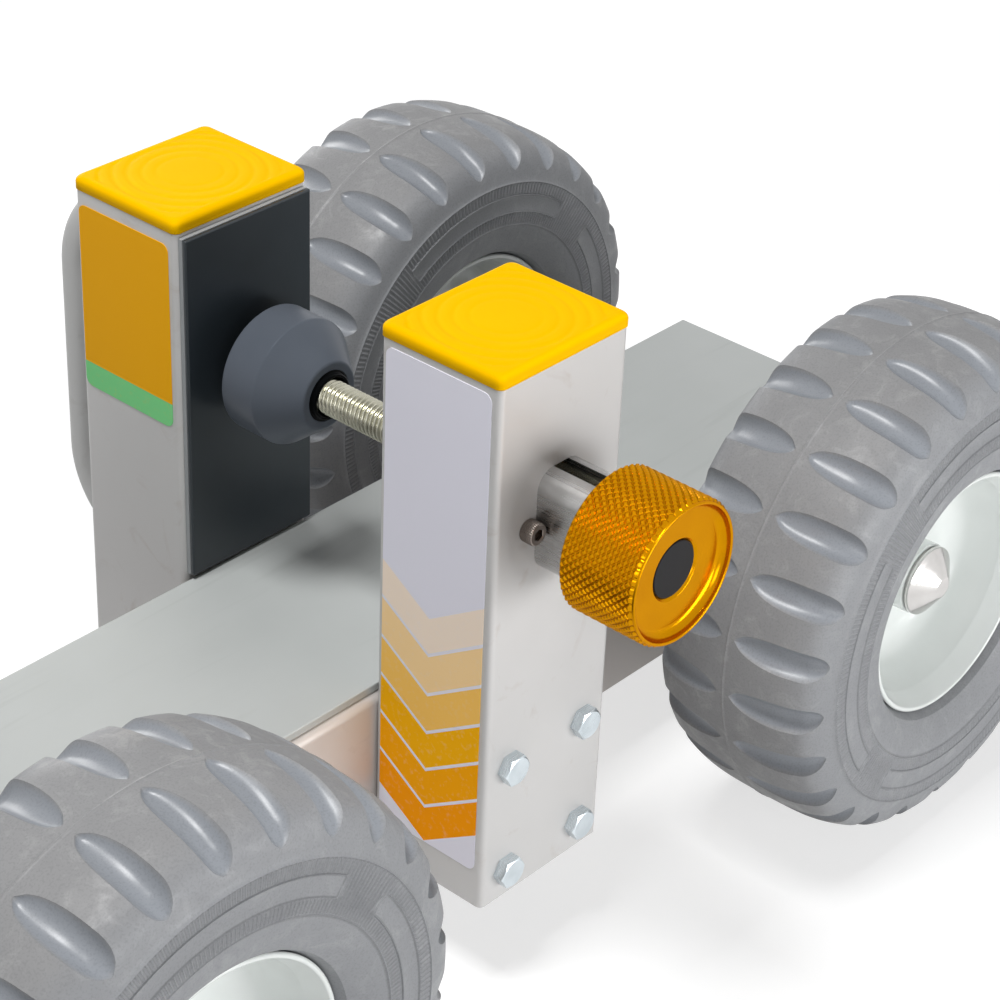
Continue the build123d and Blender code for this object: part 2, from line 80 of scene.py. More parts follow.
# A leaf-shaped scoop is cut at each step round both shoulders. Its widest place is a share of its run,
# and its depth at the nose, what the toe loses of it and its least width are shares of the full ones.
SCOOPS = 26
SCOOP_STEP = TURN / SCOOPS
SCOOP_START = 4.2
SCOOP_END = 49.5
SCOOP_WIDEST = 0.72
SCOOP_HALF_ANGLE = 3.45
SCOOP_LEAST = 0.07
SCOOP_DEPTH = 6.0
SCOOP_NOSE = 0.4
SCOOP_TOE = 0.75
SCOOP_TOE_POWER = 1.5
SCOOP_FLOOR_POWER = 2.6
SCOOP_CENTRES = {"front_left": 90.0, "front_right": 158.4, "rear_left": 97.0, "rear_right": 120.3}

# The tread's seam, raised shoulder and the hollow below it, each a bell across its own run.
SEAM_HEIGHT = 0.4
SEAM_WIDTH = 0.45
SHOULDER_RUN = 39.5
SHOULDER_RISE = 0.6
HOLLOW_RUN = 51.0
HOLLOW_DEPTH = 0.45
SHOULDER_WIDTH = 4.5

# How moulded the skin looks: the sidewall's share, the run over which the worn tread fades into it, and
# the depth in a scoop from which the skin is untouched.
SIDE_MARK = 0.4
WEAR_END = 30.0
WEAR_FADE = 16.0
WEAR_DEPTH = 0.6

# The sidewall's band: an outer circle, panels between two lines, an inner circle, and ribs between them.
RIBS_PER_SCOOP = 10
RIB_HEIGHT = 0.6
RIB_POWER = 3
RIB_CLEAR = 0.6
LINE_HEIGHT = 0.6
LINE_WIDTH = 0.4
# Painted shade beside the band's lines and between its ribs: how far inside a line it lies, how wide it is,
# and the power that narrows it between ribs.
GROOVE_SHADE_OFFSET = 1.1 * LINE_WIDTH
GROOVE_SHADE_WIDTH = 0.6 * LINE_WIDTH
GROOVE_SHADE_POWER = 6
BAND_OUTER = 100.8
PANEL_OUTER = 94.2
PANEL_INNER = 85.2
PANEL_MIDDLE = (PANEL_OUTER + PANEL_INNER) / 2
BAND_INNER = 78.7
PANELS = 4
PANEL_GAP = 14.0
PANEL_POINT = 0.8

# The tyre's grid: columns across a scoop and the land beside it, with more on the sidewalls; and rows,
# close at the seam and at the band's lines, even over the scoops and wide at the bead and in the bore.
ACROSS_SCOOP = 10
ACROSS_LAND = 5
PER_STEP = ACROSS_SCOOP + ACROSS_LAND
TYRE_COLUMNS = SCOOPS * PER_STEP
SIDE_FINE = 4
SEAM_ROWS = (0, 0.35, 0.7, 1.2)
SCOOP_ROWS = np.linspace(2, 50, 34)
LEDGE_ROWS = 3
LEDGE_START = 51.0
LEDGE_CLEAR = 0.8
LINE_ROWS = (0.9, 0.4, 0, -0.4, -0.9)
BEAD_ROWS = 7
BEAD_CLEAR = 1.0
BEAD_END = 9.0
BORE_EDGE = 4.0

# The rim, measured out from the wheel's middle plane, and the axle's cap.
RIM_LIP = 60.0
RIM_LIP_INSIDE = 57.4
RIM_LIP_ROUND = 1.2
RIM_HALF = 38.0
RIM_BARREL = 56.35
RIM_BARREL_ROUND = 6.0
RIM_FLARE = 10.0
RIM_NECK = 53.35
RIM_NECK_ROUND = 8.0
RIM_DISC_EDGE = 46.55
RIM_DISC_HALF = 3.0
RIM_DISH_ROUND = 13.0
RIM_COLUMNS = 240
HUB_BORE = 11.05
HUB_ROOT_ROUND = 2.5
HUB_INNER_ROUND = 0.6
HUB_OUTER_ROUND = 1.0
AXLE_CAP_COLLAR = 1.6
AXLE_CAP_TIP = 5.0
AXLE_CAP_TIP_ROUND = 2.4
AXLE_CAP_SIDE_ROUND = 0.9
AXLE_CAP_FOOT_ROUND = 0.3

# The smallest ring round an axis, which a fan of faces closes.
AXIS_HOLE = 0.6

# The puck and its grommet.
PUCK_RADIUS = 29.0
PUCK_FACE_ROUND = 1.6
PUCK_CYLINDER = 19.5
PUCK_CREASE_ROUND = 1.8
PUCK_NECK = 15.5
PUCK_NECK_ROUND = 2.0
PUCK_SEAT = 11.9
GROMMET_LENGTH = 5.0
GROMMET_EDGE_ROUND = 0.5
GROMMET_LIP = 10.8
GROMMET_LIP_TAPER = 0.2
GROMMET_LIP_ROUND = 0.7
GROMMET_ROOT_ROUND = 0.4
GROMMET_RISE = 2.2
GROMMET_HOLE = 9.0

# The post caps' plates, with low rings turned on top.
CAP_THICKNESS = 6.5
CAP_CORNER = 3.4
CAP_CORNER_STEPS = 6
CAP_EDGE = 2.8
CAP_EDGE_ROWS = 9
CAP_FOOT_INSET = 0.8
CAP_FOOT_RISE = 0.5
CAP_UNDERSIDE = 6.0
CAP_RING_STEP = 6.3
CAP_RING_FIRST = 14.5
CAP_RING_LAST = 40.0
CAP_RING_DEPTH = 0.5
CAP_RING_POWER = 3
CAP_RING_CLEAR = 0.7
CAP_COLUMNS = 160
CAP_TOP_ROWS = 40
CAP_TOP_CLEAR = 0.6
SAME_PLACE = 1e-6

# The clamp's guide tube and the cap screw beside it.
TUBE_CORNER = 9.0
TUBE_WALL = 3.0
TUBE_SLOT = 9.0
SCREW_HEAD_LENGTH = 6.4
SCREW_SHANK = 2.9
SCREW_SOCKET = 4.6
SCREW_SOCKET_DEPTH = 3.0
SCREW_CHAMFER = 0.3
SCREW_EDGE = 0.7
SCREW_BACK_INSET = 0.5
SCREW_BACK_RISE = 0.6
SCREW_RIBS = 30
SCREW_RIB = 0.2
SCREW_COLUMNS = 180

# The rod's thread: how steep its flanks are, where 1 would leave its crests sharp, the share of its depth
# that is filled at its root, and how fast it rises from its ends.
THREAD_PITCH = 2.309
THREAD_DEPTH = 1.25
THREAD_FLANK = 1.3
THREAD_ROOT = 0.08
THREAD_RISE = 1.2
THREAD_COLUMNS = 28
THREAD_ROWS = 10

# The knob. A knurl's groove is as wide as its share of a step.
KNURL_STEPS = 52
KNURL_FINE = 8
KNURL_GROOVE = 0.27
KNURL_DEPTH = 1.05
KNURL_BACK = 1.2
KNURL_FRONT = 2.2
KNOB_EDGE = 1.1
KNOB_EDGE_ROUND = 0.5
KNOB_RIM = 2.55
KNOB_RIM_ROUND = 0.6
KNOB_DISH_DEPTH = 4.7
KNOB_DISH_ROUND = 4.0
KNOB_DISC_SEAT = 12.6
KNOB_DISC_RECESS = 2.8
KNOB_SEAT_ROUND = 0.2
KNOB_SCREW_HOLE = 5.6
KNOB_SCREW_SEAT = 4.2
KNOB_BORE = 24.46
KNOB_BORE_DEPTH = 21.5
KNOB_BOSS = 10.1
KNOB_BOSS_LENGTH = 8.0


def linear(code):
    """An sRGB hex colour as linear red, green and blue with full alpha."""
    parts = [int(code[place:place + 2], 16) / 255 for place in (1, 3, 5)]
    return [part / 12.92 if part <= 0.04045 else ((part + 0.055) / 1.055) ** 2.4 for part in parts] + [1.0]


def per(size):
    """The texture scale at which a pattern on coordinates in metres repeats about every `size` mm."""
    return 1 / (size * MM)


def span(node):
    """A node's lowest corner, highest corner and middle in millimetres."""
    low, high = (np.array(corner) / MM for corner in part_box(node))
    return low, high, (low + high) / 2


def add(tree, kind, inputs=None, **settings):
    """Adds one shader node with its settings. An input is set to a value, or linked from a socket or from
    the first live output of a node."""
    node = tree.nodes.new("ShaderNode" + kind)
    for name, value in settings.items():
        setattr(node, name, value)
    for key, value in (inputs or {}).items():
        if isinstance(value, bpy.types.Node):
            value = next(socket for socket in value.outputs if socket.enabled)
        if isinstance(value, bpy.types.NodeSocket):
            tree.links.new(value, node.inputs[key])
        else:
            node.inputs[key].default_value = value
    return node


def new_finish(name):
    """A new material, its empty tree and the Object coordinates of the piece that wears it."""
    look = bpy.data.materials.new(name)
    look.use_nodes = True
    look.node_tree.nodes.clear()
    return look, look.node_tree, add(look.node_tree, "TexCoord").outputs["Object"]


def shade(tree, **sockets):
    """Puts a Principled shader on the tree's output, with each named socket set or linked."""
    shader = add(tree, "BsdfPrincipled", {name.replace("_", " "): value for name, value in sockets.items()})
    add(tree, "OutputMaterial", {"Surface": shader})


# Finishes

# A Mix node's sockets go by number: 0 is the share of its second input, 6 and 7 are its colours, 2 and 3
# its values. Grain finer than about half a millimetre wouldn't show at this camera's distance, so it is
# drawn that coarse or coarser.

def extruded_aluminium(name, grain, pale, dull, stain):
    """Extruded aluminium, etched satin: fine drawn lines along the length, cloudy handling marks and a
    few warm stains. The real lines are a few hundredths of a millimetre apart."""
    look, tree, place = new_finish(name)
    lines = add(tree, "Mapping", {"Vector": place, "Scale": grain})
    drawn = add(tree, "TexNoise", {"Vector": lines, "Scale": 1.0, "Detail": 4.0, "Roughness": 0.6})
    clouds = add(tree, "TexNoise", {"Vector": place, "Scale": per(55), "Detail": 4.0, "Roughness": 0.55})
    marks = add(tree, "TexNoise", {"Vector": place, "Scale": per(24), "Detail": 5.0, "Roughness": 0.6,
                                   "Distortion": 1.2})
    tone = add(tree, "Mix", {0: clouds, 6: linear(dull), 7: linear(pale)}, data_type="RGBA")
    soiled = add(tree, "MapRange", {"Value": marks, "From Min": 0.6, "From Max": 0.78, "To Max": 0.45})
    colour = add(tree, "Mix", {0: soiled, 6: tone, 7: linear(stain)}, data_type="RGBA")
    gloss = add(tree, "MapRange", {"Value": clouds, "From Min": 0.3, "From Max": 0.7, "To Min": 0.44,
                                   "To Max": 0.56})
    grooves = add(tree, "Bump", {"Height": drawn, "Strength": 0.12, "Distance": 0.05 * MM})
    shade(tree, Metallic=0.3, Base_Color=colour, Roughness=gloss, Normal=grooves)
    return look


def vinyl_mat():
    """Calendered vinyl: a greenish grey satin sheet with embossed grain, wipe marks and faint stains."""
    look, tree, place = new_finish("grey vinyl sheet")
    clouds = add(tree, "TexNoise", {"Vector": place, "Scale": per(90), "Detail": 4.0})
    lengthways = add(tree, "Mapping", {"Vector": place, "Scale": (per(120), per(9), per(9))})
    wipes = add(tree, "TexNoise", {"Vector": lengthways, "Scale": 1.0, "Detail": 3.0, "Distortion": 0.6})
    grain = add(tree, "TexNoise", {"Vector": place, "Scale": per(1.2), "Detail": 2.0})
    tone = add(tree, "Mix", {0: clouds, 6: linear("#B1B5B3"), 7: linear("#C2C5C4")}, data_type="RGBA")
    rubbed = add(tree, "MapRange", {"Value": wipes, "From Min": 0.62, "From Max": 0.75, "To Max": 0.35})
    colour = add(tree, "Mix", {0: rubbed, 6: tone, 7: linear("#A8ACA9")}, data_type="RGBA")
    gloss = add(tree, "MapRange", {"Value": wipes, "To Min": 0.38, "To Max": 0.6})
    bump = add(tree, "Bump", {"Height": grain, "Strength": 0.15, "Distance": 0.06 * MM})
    shade(tree, Base_Color=colour, Roughness=gloss, Normal=bump)
    return look


def moulded_plastic(name, pale, deep, rough, grit, shine=0.5):
    """Moulded plastic: one strong colour with slight flow clouding and the grain of a spark-eroded mould,
    which is about a tenth of a millimetre on a real one."""
    look, tree, place = new_finish(name)
    flow = add(tree, "TexNoise", {"Vector": place, "Scale": per(30), "Detail": 3.0})
    fine = add(tree, "TexNoise", {"Vector": place, "Scale": per(grit), "Detail": 2.0})
    colour = add(tree, "Mix", {0: flow, 6: linear(deep), 7: linear(pale)}, data_type="RGBA")
    gloss = add(tree, "MapRange", {"Value": fine, "To Min": rough - 0.06, "To Max": rough + 0.06})
    bump = add(tree, "Bump", {"Height": fine, "Strength": 0.12, "Distance": 0.05 * MM})
    shade(tree, Specular_IOR_Level=shine, Specular_Tint=linear(pale), Base_Color=colour, Roughness=gloss,
          Normal=bump)
    return look


def tyre_foam():
    """Moulded polyurethane foam: a cool grey glossy skin as it left the mould, rubbed dull and warmer
    along the tread, with dark specks at open pores and painted shade in the sidewall's grooves."""
    look, tree, place = new_finish("grey polyurethane foam")
    moulded = add(tree, "Attribute", attribute_name="moulded").outputs["Fac"]
    groove_shade = add(tree, "Attribute", attribute_name="groove_shade").outputs["Fac"]
    clouds = add(tree, "TexNoise", {"Vector": place, "Scale": per(38), "Detail": 5.0, "Roughness": 0.6})
    scuffs = add(tree, "TexNoise", {"Vector": place, "Scale": per(11), "Detail": 6.0, "Roughness": 0.65,
                                    "Distortion": 0.8})
    pores = add(tree, "TexNoise", {"Vector": place, "Scale": per(0.9), "Detail": 2.0})
    dusty = add(tree, "Mix", {0: clouds, 6: linear("#7F7F80"), 7: linear("#939394")}, data_type="RGBA")
    worn = add(tree, "MapRange", {"Value": scuffs, "From Min": 0.52, "From Max": 0.72, "To Max": 0.6})
    skin = add(tree, "Mix", {0: worn, 6: dusty, 7: linear("#A1A1A1")}, data_type="RGBA")
    toned = add(tree, "Mix", {0: moulded, 6: skin, 7: linear("#8A8E94")}, data_type="RGBA")
    speck = add(tree, "MapRange", {"Value": pores, "From Min": 0.35, "From Max": 0.5, "To Min": 0.2,
                                   "To Max": 0.0})
    # Painted shade: half the groove mark darkens the sidewall's grooves toward the dark grey below; the
    # pore specks added to it are the foam's own.
    darkening = add(tree, "Math", {0: groove_shade, 1: 0.5, 2: speck}, operation="MULTIPLY_ADD", use_clamp=True)
    colour = add(tree, "Mix", {0: darkening, 6: toned, 7: linear("#606164")}, data_type="RGBA")
    matt = add(tree, "MapRange", {"Value": scuffs, "From Min": 0.3, "From Max": 0.7, "To Min": 0.62,
                                  "To Max": 0.4})
    smooth = add(tree, "MapRange", {"Value": moulded, "From Min": SIDE_MARK})
    gloss = add(tree, "Mix", {0: smooth, 2: matt, 3: 0.32}, data_type="FLOAT")
    bump = add(tree, "Bump", {"Height": pores, "Strength": 0.2, "Distance": 0.08 * MM})
    shade(tree, Specular_IOR_Level=0.4, Base_Color=colour, Roughness=gloss, Normal=bump)
    return look


def baked_enamel():
    """White stoved enamel on steel: glossy, with the soft ripple of sprayed paint and slight dust."""
    look, tree, place = new_finish("white stoved enamel")
    ripple = add(tree, "TexNoise", {"Vector": place, "Scale": per(4), "Detail": 2.0})
    dust = add(tree, "TexNoise", {"Vector": place, "Scale": per(26), "Detail": 4.0})
    colour = add(tree, "Mix", {0: dust, 6: linear("#DADEDC"), 7: linear("#E5E9E7")}, data_type="RGBA")
    gloss = add(tree, "MapRange", {"Value": dust, "To Min": 0.14, "To Max": 0.3})
    bump = add(tree, "Bump", {"Height": ripple, "Strength": 0.06, "Distance": 0.1 * MM})
    shade(tree, Coat_Weight=0.4, Coat_Roughness=0.05, Base_Color=colour, Roughness=gloss, Normal=bump)
    return look


def bright_steel(name, pale, dull, rough, grain):
    """Steel, plated or polished: a metal whose tone clouds a little, with fine lines where it was turned
    or drawn."""
    look, tree, place = new_finish(name)
    lines = add(tree, "Mapping", {"Vector": place, "Scale": grain})
    tooled = add(tree, "TexNoise", {"Vector": lines, "Scale": 1.0, "Detail": 3.0})
    clouds = add(tree, "TexNoise", {"Vector": place, "Scale": per(7), "Detail": 4.0})
    colour = add(tree, "Mix", {0: clouds, 6: linear(dull), 7: linear(pale)}, data_type="RGBA")
    gloss = add(tree, "MapRange", {"Value": tooled, "From Min": 0.3, "From Max": 0.7, "To Min": rough * 0.7,
                                   "To Max": rough * 1.4})
    bump = add(tree, "Bump", {"Height": tooled, "Strength": 0.1, "Distance": 0.03 * MM})
    shade(tree, Metallic=1.0, Base_Color=colour, Roughness=gloss, Normal=bump)
    return look


def gold_anodising():
    """Gold anodised aluminium: a clear deep yellow over bright turned metal, with lathe rings round the
    knob's axis that show from close by. A ring wave of scale 1 has 20 radians to a metre."""
    look, tree, place = new_finish("gold anodised aluminium")
    clouds = add(tree, "TexNoise", {"Vector": place, "Scale": per(12), "Detail": 3.0})
    colour = add(tree, "Mix", {0: clouds, 6: linear("#BE7E02"), 7: linear("#CD8F07")}, data_type="RGBA")
    gloss = add(tree, "MapRange", {"Value": clouds, "To Min": 0.15, "To Max": 0.27})
    centred = add(tree, "Mapping", {"Vector": place, "Location": -span("clamp_knob")[2] * MM})
    rings = add(tree, "TexWave", {"Vector": centred, "Scale": TURN / 20 * per(0.9), "Distortion": 0.6,
                                  "Detail": 2.0}, wave_type="RINGS", rings_direction="Y")
    bump = add(tree, "Bump", {"Height": rings.outputs["Fac"], "Strength": 0.25, "Distance": 0.03 * MM})
    shade(tree, Metallic=0.85, Specular_IOR_Level=0.15, Specular_Tint=linear("#F4C860"), Base_Color=colour,
          Roughness=gloss, Normal=bump)
    return look


def banded_sticker(name, ground, bands, middle=0.0, slope=0.0):
    """Printed polyester film: plain bands, each from one height to another, with the ground between them.
    A slope makes them chevrons about the sticker's middle, and the ink is faded in specks."""
    look, tree, place = new_finish(name)
    split = add(tree, "SeparateXYZ", {"Vector": place}).outputs
    aside = add(tree, "Math", {0: split["Y"], 1: middle * MM}, operation="SUBTRACT")
    aside = add(tree, "Math", {0: aside}, operation="ABSOLUTE")
    height = add(tree, "Math", {0: aside, 1: -slope, 2: split["Z"]}, operation="MULTIPLY_ADD")
    colour = linear(ground)
    for start, end, code in bands:
        above = add(tree, "Math", {0: height, 1: start * MM}, operation="GREATER_THAN")
        below = add(tree, "Math", {0: height, 1: end * MM}, operation="LESS_THAN")
        inside = add(tree, "Math", {0: above, 1: below}, operation="MULTIPLY")
        colour = add(tree, "Mix", {0: inside, 6: colour, 7: linear(code)}, data_type="RGBA")
    dots = add(tree, "TexNoise", {"Vector": place, "Scale": per(2.5), "Detail": 3.0})
    faded = add(tree, "MapRange", {"Value": dots, "From Min": 0.55, "From Max": 0.8, "To Max": 0.12})
    inked = add(tree, "Mix", {0: faded, 6: colour, 7: linear(ground)}, data_type="RGBA")
    shade(tree, Roughness=0.4, Specular_IOR_Level=0.05, Base_Color=inked)
    return look


def facing_rubber():
    """Vulcanised rubber facing: blue-black and half glossy, dulled in patches by stone dust."""
    look, tree, place = new_finish("blue-black rubber facing")
    dust = add(tree, "TexNoise", {"Vector": place, "Scale": per(45), "Detail": 5.0, "Roughness": 0.6})
    fine = add(tree, "TexNoise", {"Vector": place, "Scale": per(1.5), "Detail": 2.0})
    colour = add(tree, "Mix", {0: dust, 6: linear("#20262B"), 7: linear("#2C343A")}, data_type="RGBA")
    gloss = add(tree, "MapRange", {"Value": dust, "To Min": 0.28, "To Max": 0.36})
    bump = add(tree, "Bump", {"Height": fine, "Strength": 0.06, "Distance": 0.05 * MM})
    shade(tree, Base_Color=colour, Roughness=gloss, Normal=bump)
    return look


# Grain whose lines run up a post, along the deck, round an axle and along the tube
UPRIGHT_GRAIN = (per(0.8), per(0.8), per(90))
LENGTH_GRAIN = (per(90), per(0.8), per(0.8))
ROUND_GRAIN = (per(60), per(0.5), per(60))
DRAWN_GRAIN = (per(0.9), per(80), per(0.9))
post_finish = extruded_aluminium("extruded aluminium post", UPRIGHT_GRAIN, "#CDCCCB", "#C1C0BF", "#ADA198")
# The channel's tones are warmed to a pinkish off-white. This tint is painted light that stands in for warm
# light bounced from the wheel and sticker beside it. The grey under it is the aluminium's own.
channel_finish = extruded_aluminium("extruded aluminium channel", LENGTH_GRAIN, "#D6D0CC", "#CAC4C0",
                                    "#BAB0A9")
handle_finish = extruded_aluminium("drawn aluminium bar", UPRIGHT_GRAIN, "#BEBEBD", "#ABABAA", "#9A9692")
mat_finish = vinyl_mat()
cap_finish = moulded_plastic("yellow polyethylene", "#FFC600", "#FFBF00", 0.5, 1.1, 0.03)
puck_finish = moulded_plastic("slate grey acetal", "#5F656E", "#535962", 0.36, 0.9, 0.3)
grommet_finish = moulded_plastic("black nitrile rubber", "#0C0D0E", "#070809", 0.3, 0.8, 0.15)
disc_finish = moulded_plastic("dark grey acrylic", "#232325", "#1A1A1C", 0.35, 0.7, 0.15)
tyre_finish = tyre_foam()
rim_finish = baked_enamel()
polished_finish = bright_steel("polished steel", "#C6C5C4", "#A5A4A3", 0.28, DRAWN_GRAIN)
turned_finish = bright_steel("turned steel", "#E0DEDC", "#C6C3C1", 0.16, ROUND_GRAIN)
zinc_finish = bright_steel("bright zinc plate", "#E2EAEF", "#BFC9CE", 0.3, ROUND_GRAIN)
rod_finish = bright_steel("yellow passivated zinc plate", "#CFCDBC", "#A09E8E", 0.26, ROUND_GRAIN)
machined_finish = bright_steel("machined steel", "#B5B5B3", "#8E8E8C", 0.35, ROUND_GRAIN)
screw_finish = bright_steel("stainless steel", "#958B84", "#625A54", 0.26, ROUND_GRAIN)
knob_finish = gold_anodising()
rubber_finish = facing_rubber()
backing_finish = moulded_plastic("grey rigid vinyl", "#A4A7A9", "#8F9294", 0.5, 1.2)
front_sticker = banded_sticker("printed film, amber chevrons on lilac", "#E9E8F3", [
    (65.0, 82.7, "#FF9E00"),
    (84.4, 102.2, "#FFAB02"),
    (103.9, 121.6, "#FFB807"),
    (123.3, 141.1, "#FFCA66"),
    (142.8, 161.0, "#FFDBA2"),
    (162.7, 180.0, "#FBE9D6"),
], middle=-89.5, slope=0.65)
rear_sticker = banded_sticker("printed film, amber over green", "#F8B210", [(205.0, 217.5, "#84DE92")])


# Surfaces

def dress(look, *nodes):
    """Gives CAD nodes a finish."""
    for node in nodes:
        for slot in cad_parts[node].material_slots:
            slot.material = look


def piece(name, shape, look, body, nodes, sharp=None, marks=None):
    """One object at the origin from a shape's points in millimetres and groups of faces. It rides on a
    body and stands for nodes. Edges that turn by more than the sharp angle stay crisp, and marks are
    values at its points."""
    points, faces = shape
    mesh = bpy.data.meshes.new(name)
    corners = np.concatenate([group.ravel() for group in faces])
    sides = np.concatenate([np.full(len(group), group.shape[1]) for group in faces])
    mesh.vertices.add(len(points))
    mesh.loops.add(len(corners))
    mesh.polygons.add(len(sides))
    mesh.vertices.foreach_set("co", (points * MM).astype(np.float32).ravel())
    mesh.loops.foreach_set("vertex_index", corners.astype(np.int32))
    mesh.polygons.foreach_set("loop_start", (np.cumsum(sides) - sides).astype(np.int32))
    mesh.polygons.foreach_set("use_smooth", np.ones(len(sides), bool))
    mesh.update(calc_edges=True)
    mesh.validate()
    if sharp:
        mesh.set_sharp_from_angle(angle=np.radians(sharp))
    for label, values in (marks or {}).items():
        mesh.attributes.new(label, "FLOAT", "POINT").data.foreach_set("value", values.astype(np.float32))
    mesh.materials.append(look)
    obj = bpy.data.objects.new(name, mesh)
    scene.collection.objects.link(obj)
    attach(obj, body)
    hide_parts(*nodes)
    return obj


def quads(rows, columns, start=0, ring=False):
    """The quads of a grid whose columns close on themselves, and whose rows do too when it is a ring."""
    index = start + np.arange(rows * columns).reshape(rows, columns)
    index = np.concatenate([index, index[:, :1]], 1)
    if ring:
        index = np.concatenate([index, index[:1]])
    return np.stack([index[:-1, :-1], index[:-1, 1:], index[1:, 1:], index[1:, :-1]], -1).reshape(-1, 4)


def closed(grid, ring=False, flip=False):
    """Points and faces of a grid closed round its columns. A ring closes its rows too; otherwise a fan
    fills each end."""
    rows, columns = grid.shape[:2]
    points = grid.reshape(-1, 3)
    faces = [quads(rows, columns, 0, ring)]
    if not ring:
        first = np.arange(columns)
        after = np.roll(first, -1)
        last = (rows - 1) * columns
        middle = np.full(columns, rows * columns)
        points = np.concatenate([points, grid[:1].mean(1), grid[-1:].mean(1)])
        faces.append(np.stack([after, first, middle], 1))
        faces.append(np.stack([last + first, last + after, middle + 1], 1))
    if flip:
        faces = [group[:, ::-1] for group in faces]
    return points, faces


def outline(corners, steps=8):
    """A line through (a, b, round) corners, where a round is the radius of an arc in the corner."""
    places = np.array([corner[:2] for corner in corners], float)
    line = []
    for number, (_, _, rounding) in enumerate(corners):
        here = places[number]
        if not rounding:
            line.append(here[None])
            continue
        back = places[number - 1] - here
        ahead = places[(number + 1) % len(places)] - here
        back = back / np.hypot(*back)
        ahead = ahead / np.hypot(*ahead)
        half = np.arccos(np.clip(back @ ahead, -1, 1)) / 2
        centre = here + (back + ahead) / np.hypot(*(back + ahead)) * rounding / np.sin(half)
        start, end = (here + side * rounding / np.tan(half) - centre for side in (back, ahead))
        first = np.arctan2(start[1], start[0])
        sweep = (np.arctan2(end[1], end[0]) - first + np.pi) % TURN - np.pi
        angle = first + sweep * np.linspace(0, 1, steps + 1)
        line.append(centre + rounding * np.stack([np.cos(angle), np.sin(angle)], 1))
    return np.concatenate(line)


def spun(radius, offset, centre, columns, side=1):
    """A profile carried round an axis along Y: x is radius times cosine, z radius times sine, y offset."""
    angle = np.arange(columns) / columns * TURN
    radius = np.broadcast_to(radius.reshape(len(offset), -1), (len(offset), columns))
    along = np.broadcast_to(side * offset[:, None], radius.shape)
    return np.array(centre) + np.stack([radius * np.cos(angle), along, radius * np.sin(angle)], -1)


def turned(corners, centre, side=1, columns=160):
    """A piece turned about an axis along Y from (radius, offset, round) corners: a ring, unless both its
    ends are at the axis."""
    profile = outline(corners)
    ring = corners[0][0] > AXIS_HOLE
    return closed(spun(profile[:, 0], profile[:, 1], centre, columns, side), ring, side < 0)


def bell(distance, width):
    """A bell of height 1 at no distance: e to the power of minus the square of distance over width."""
    return np.exp(-(distance / width) ** 2)


def tyre_section(radius, half_width):
    """Half the tyre's section, tread to bore: |y / half width| ^ p + |(r - middle) / half height| ^ p = 1.

    The power p is higher on the bead's side, which is squarer. Gives the length along it, y, r and the
    outward normal's y and r at each of many points."""
    middle = (radius + TYRE_BORE) / 2
    half_height = (radius - TYRE_BORE) / 2
    turn = np.linspace(np.pi / 2, -np.pi / 2, SECTION_POINTS)
    power = np.where(turn > 0, TYRE_POWER, BEAD_POWER)
    across = np.abs(np.cos(turn)) ** (2 / power)
    along = np.sign(np.sin(turn)) * np.abs(np.sin(turn)) ** (2 / power)
    y = half_width * across
    r = middle + half_height * along
    length = np.concatenate([[0], np.cumsum(np.hypot(np.diff(y), np.diff(r)))])
    out_y = across ** (power - 1) / half_width
    out_r = np.sign(along) * np.abs(along) ** (power - 1) / half_height
    size = np.hypot(out_y, out_r)
    return length, y, r, out_y / size, out_r / size


def on_section(section, run, angle, relief):
    """Points at these runs along a tyre's section and angles round the wheel, raised along the section's
    normal. A run below zero is on the tread's far side, and past the middle of the bore the section comes
    back."""
    length, *parts = section
    total = length[-1]
    fold = np.where(run > total, 2 * total - run, np.abs(run))
    way = np.where(run > total, 1, -np.sign(run))[:, None]
    base_y, base_r, up_y, up_r = (np.interp(fold, length, part)[:, None] for part in parts)
    along = way * (base_y + up_y * relief)
    away = base_r + up_r * relief
    return np.stack([away * np.cos(angle), along + 0 * angle, away * np.sin(angle)], -1)


def scoop_leaf(run):
    """A scoop's width as a share of its widest, along its run from 0 to 1.

    It is (1 - (1 - run / widest) ^ 3) ^ 0.5 up to its widest place, then (1 - rest ^ 2) ^ 0.5, which makes
    a tongue with a round nose and a toe on the sidewall."""
    lead = np.clip(1 - (1 - np.clip(run / SCOOP_WIDEST, 0, 1)) ** 3, 0, 1) ** 0.5
    rest = np.clip((run - SCOOP_WIDEST) / (1 - SCOOP_WIDEST), 0, 1)
    return np.where(run < SCOOP_WIDEST, lead, (1 - rest ** 2) ** 0.5) * (run > 0) * (run < 1)


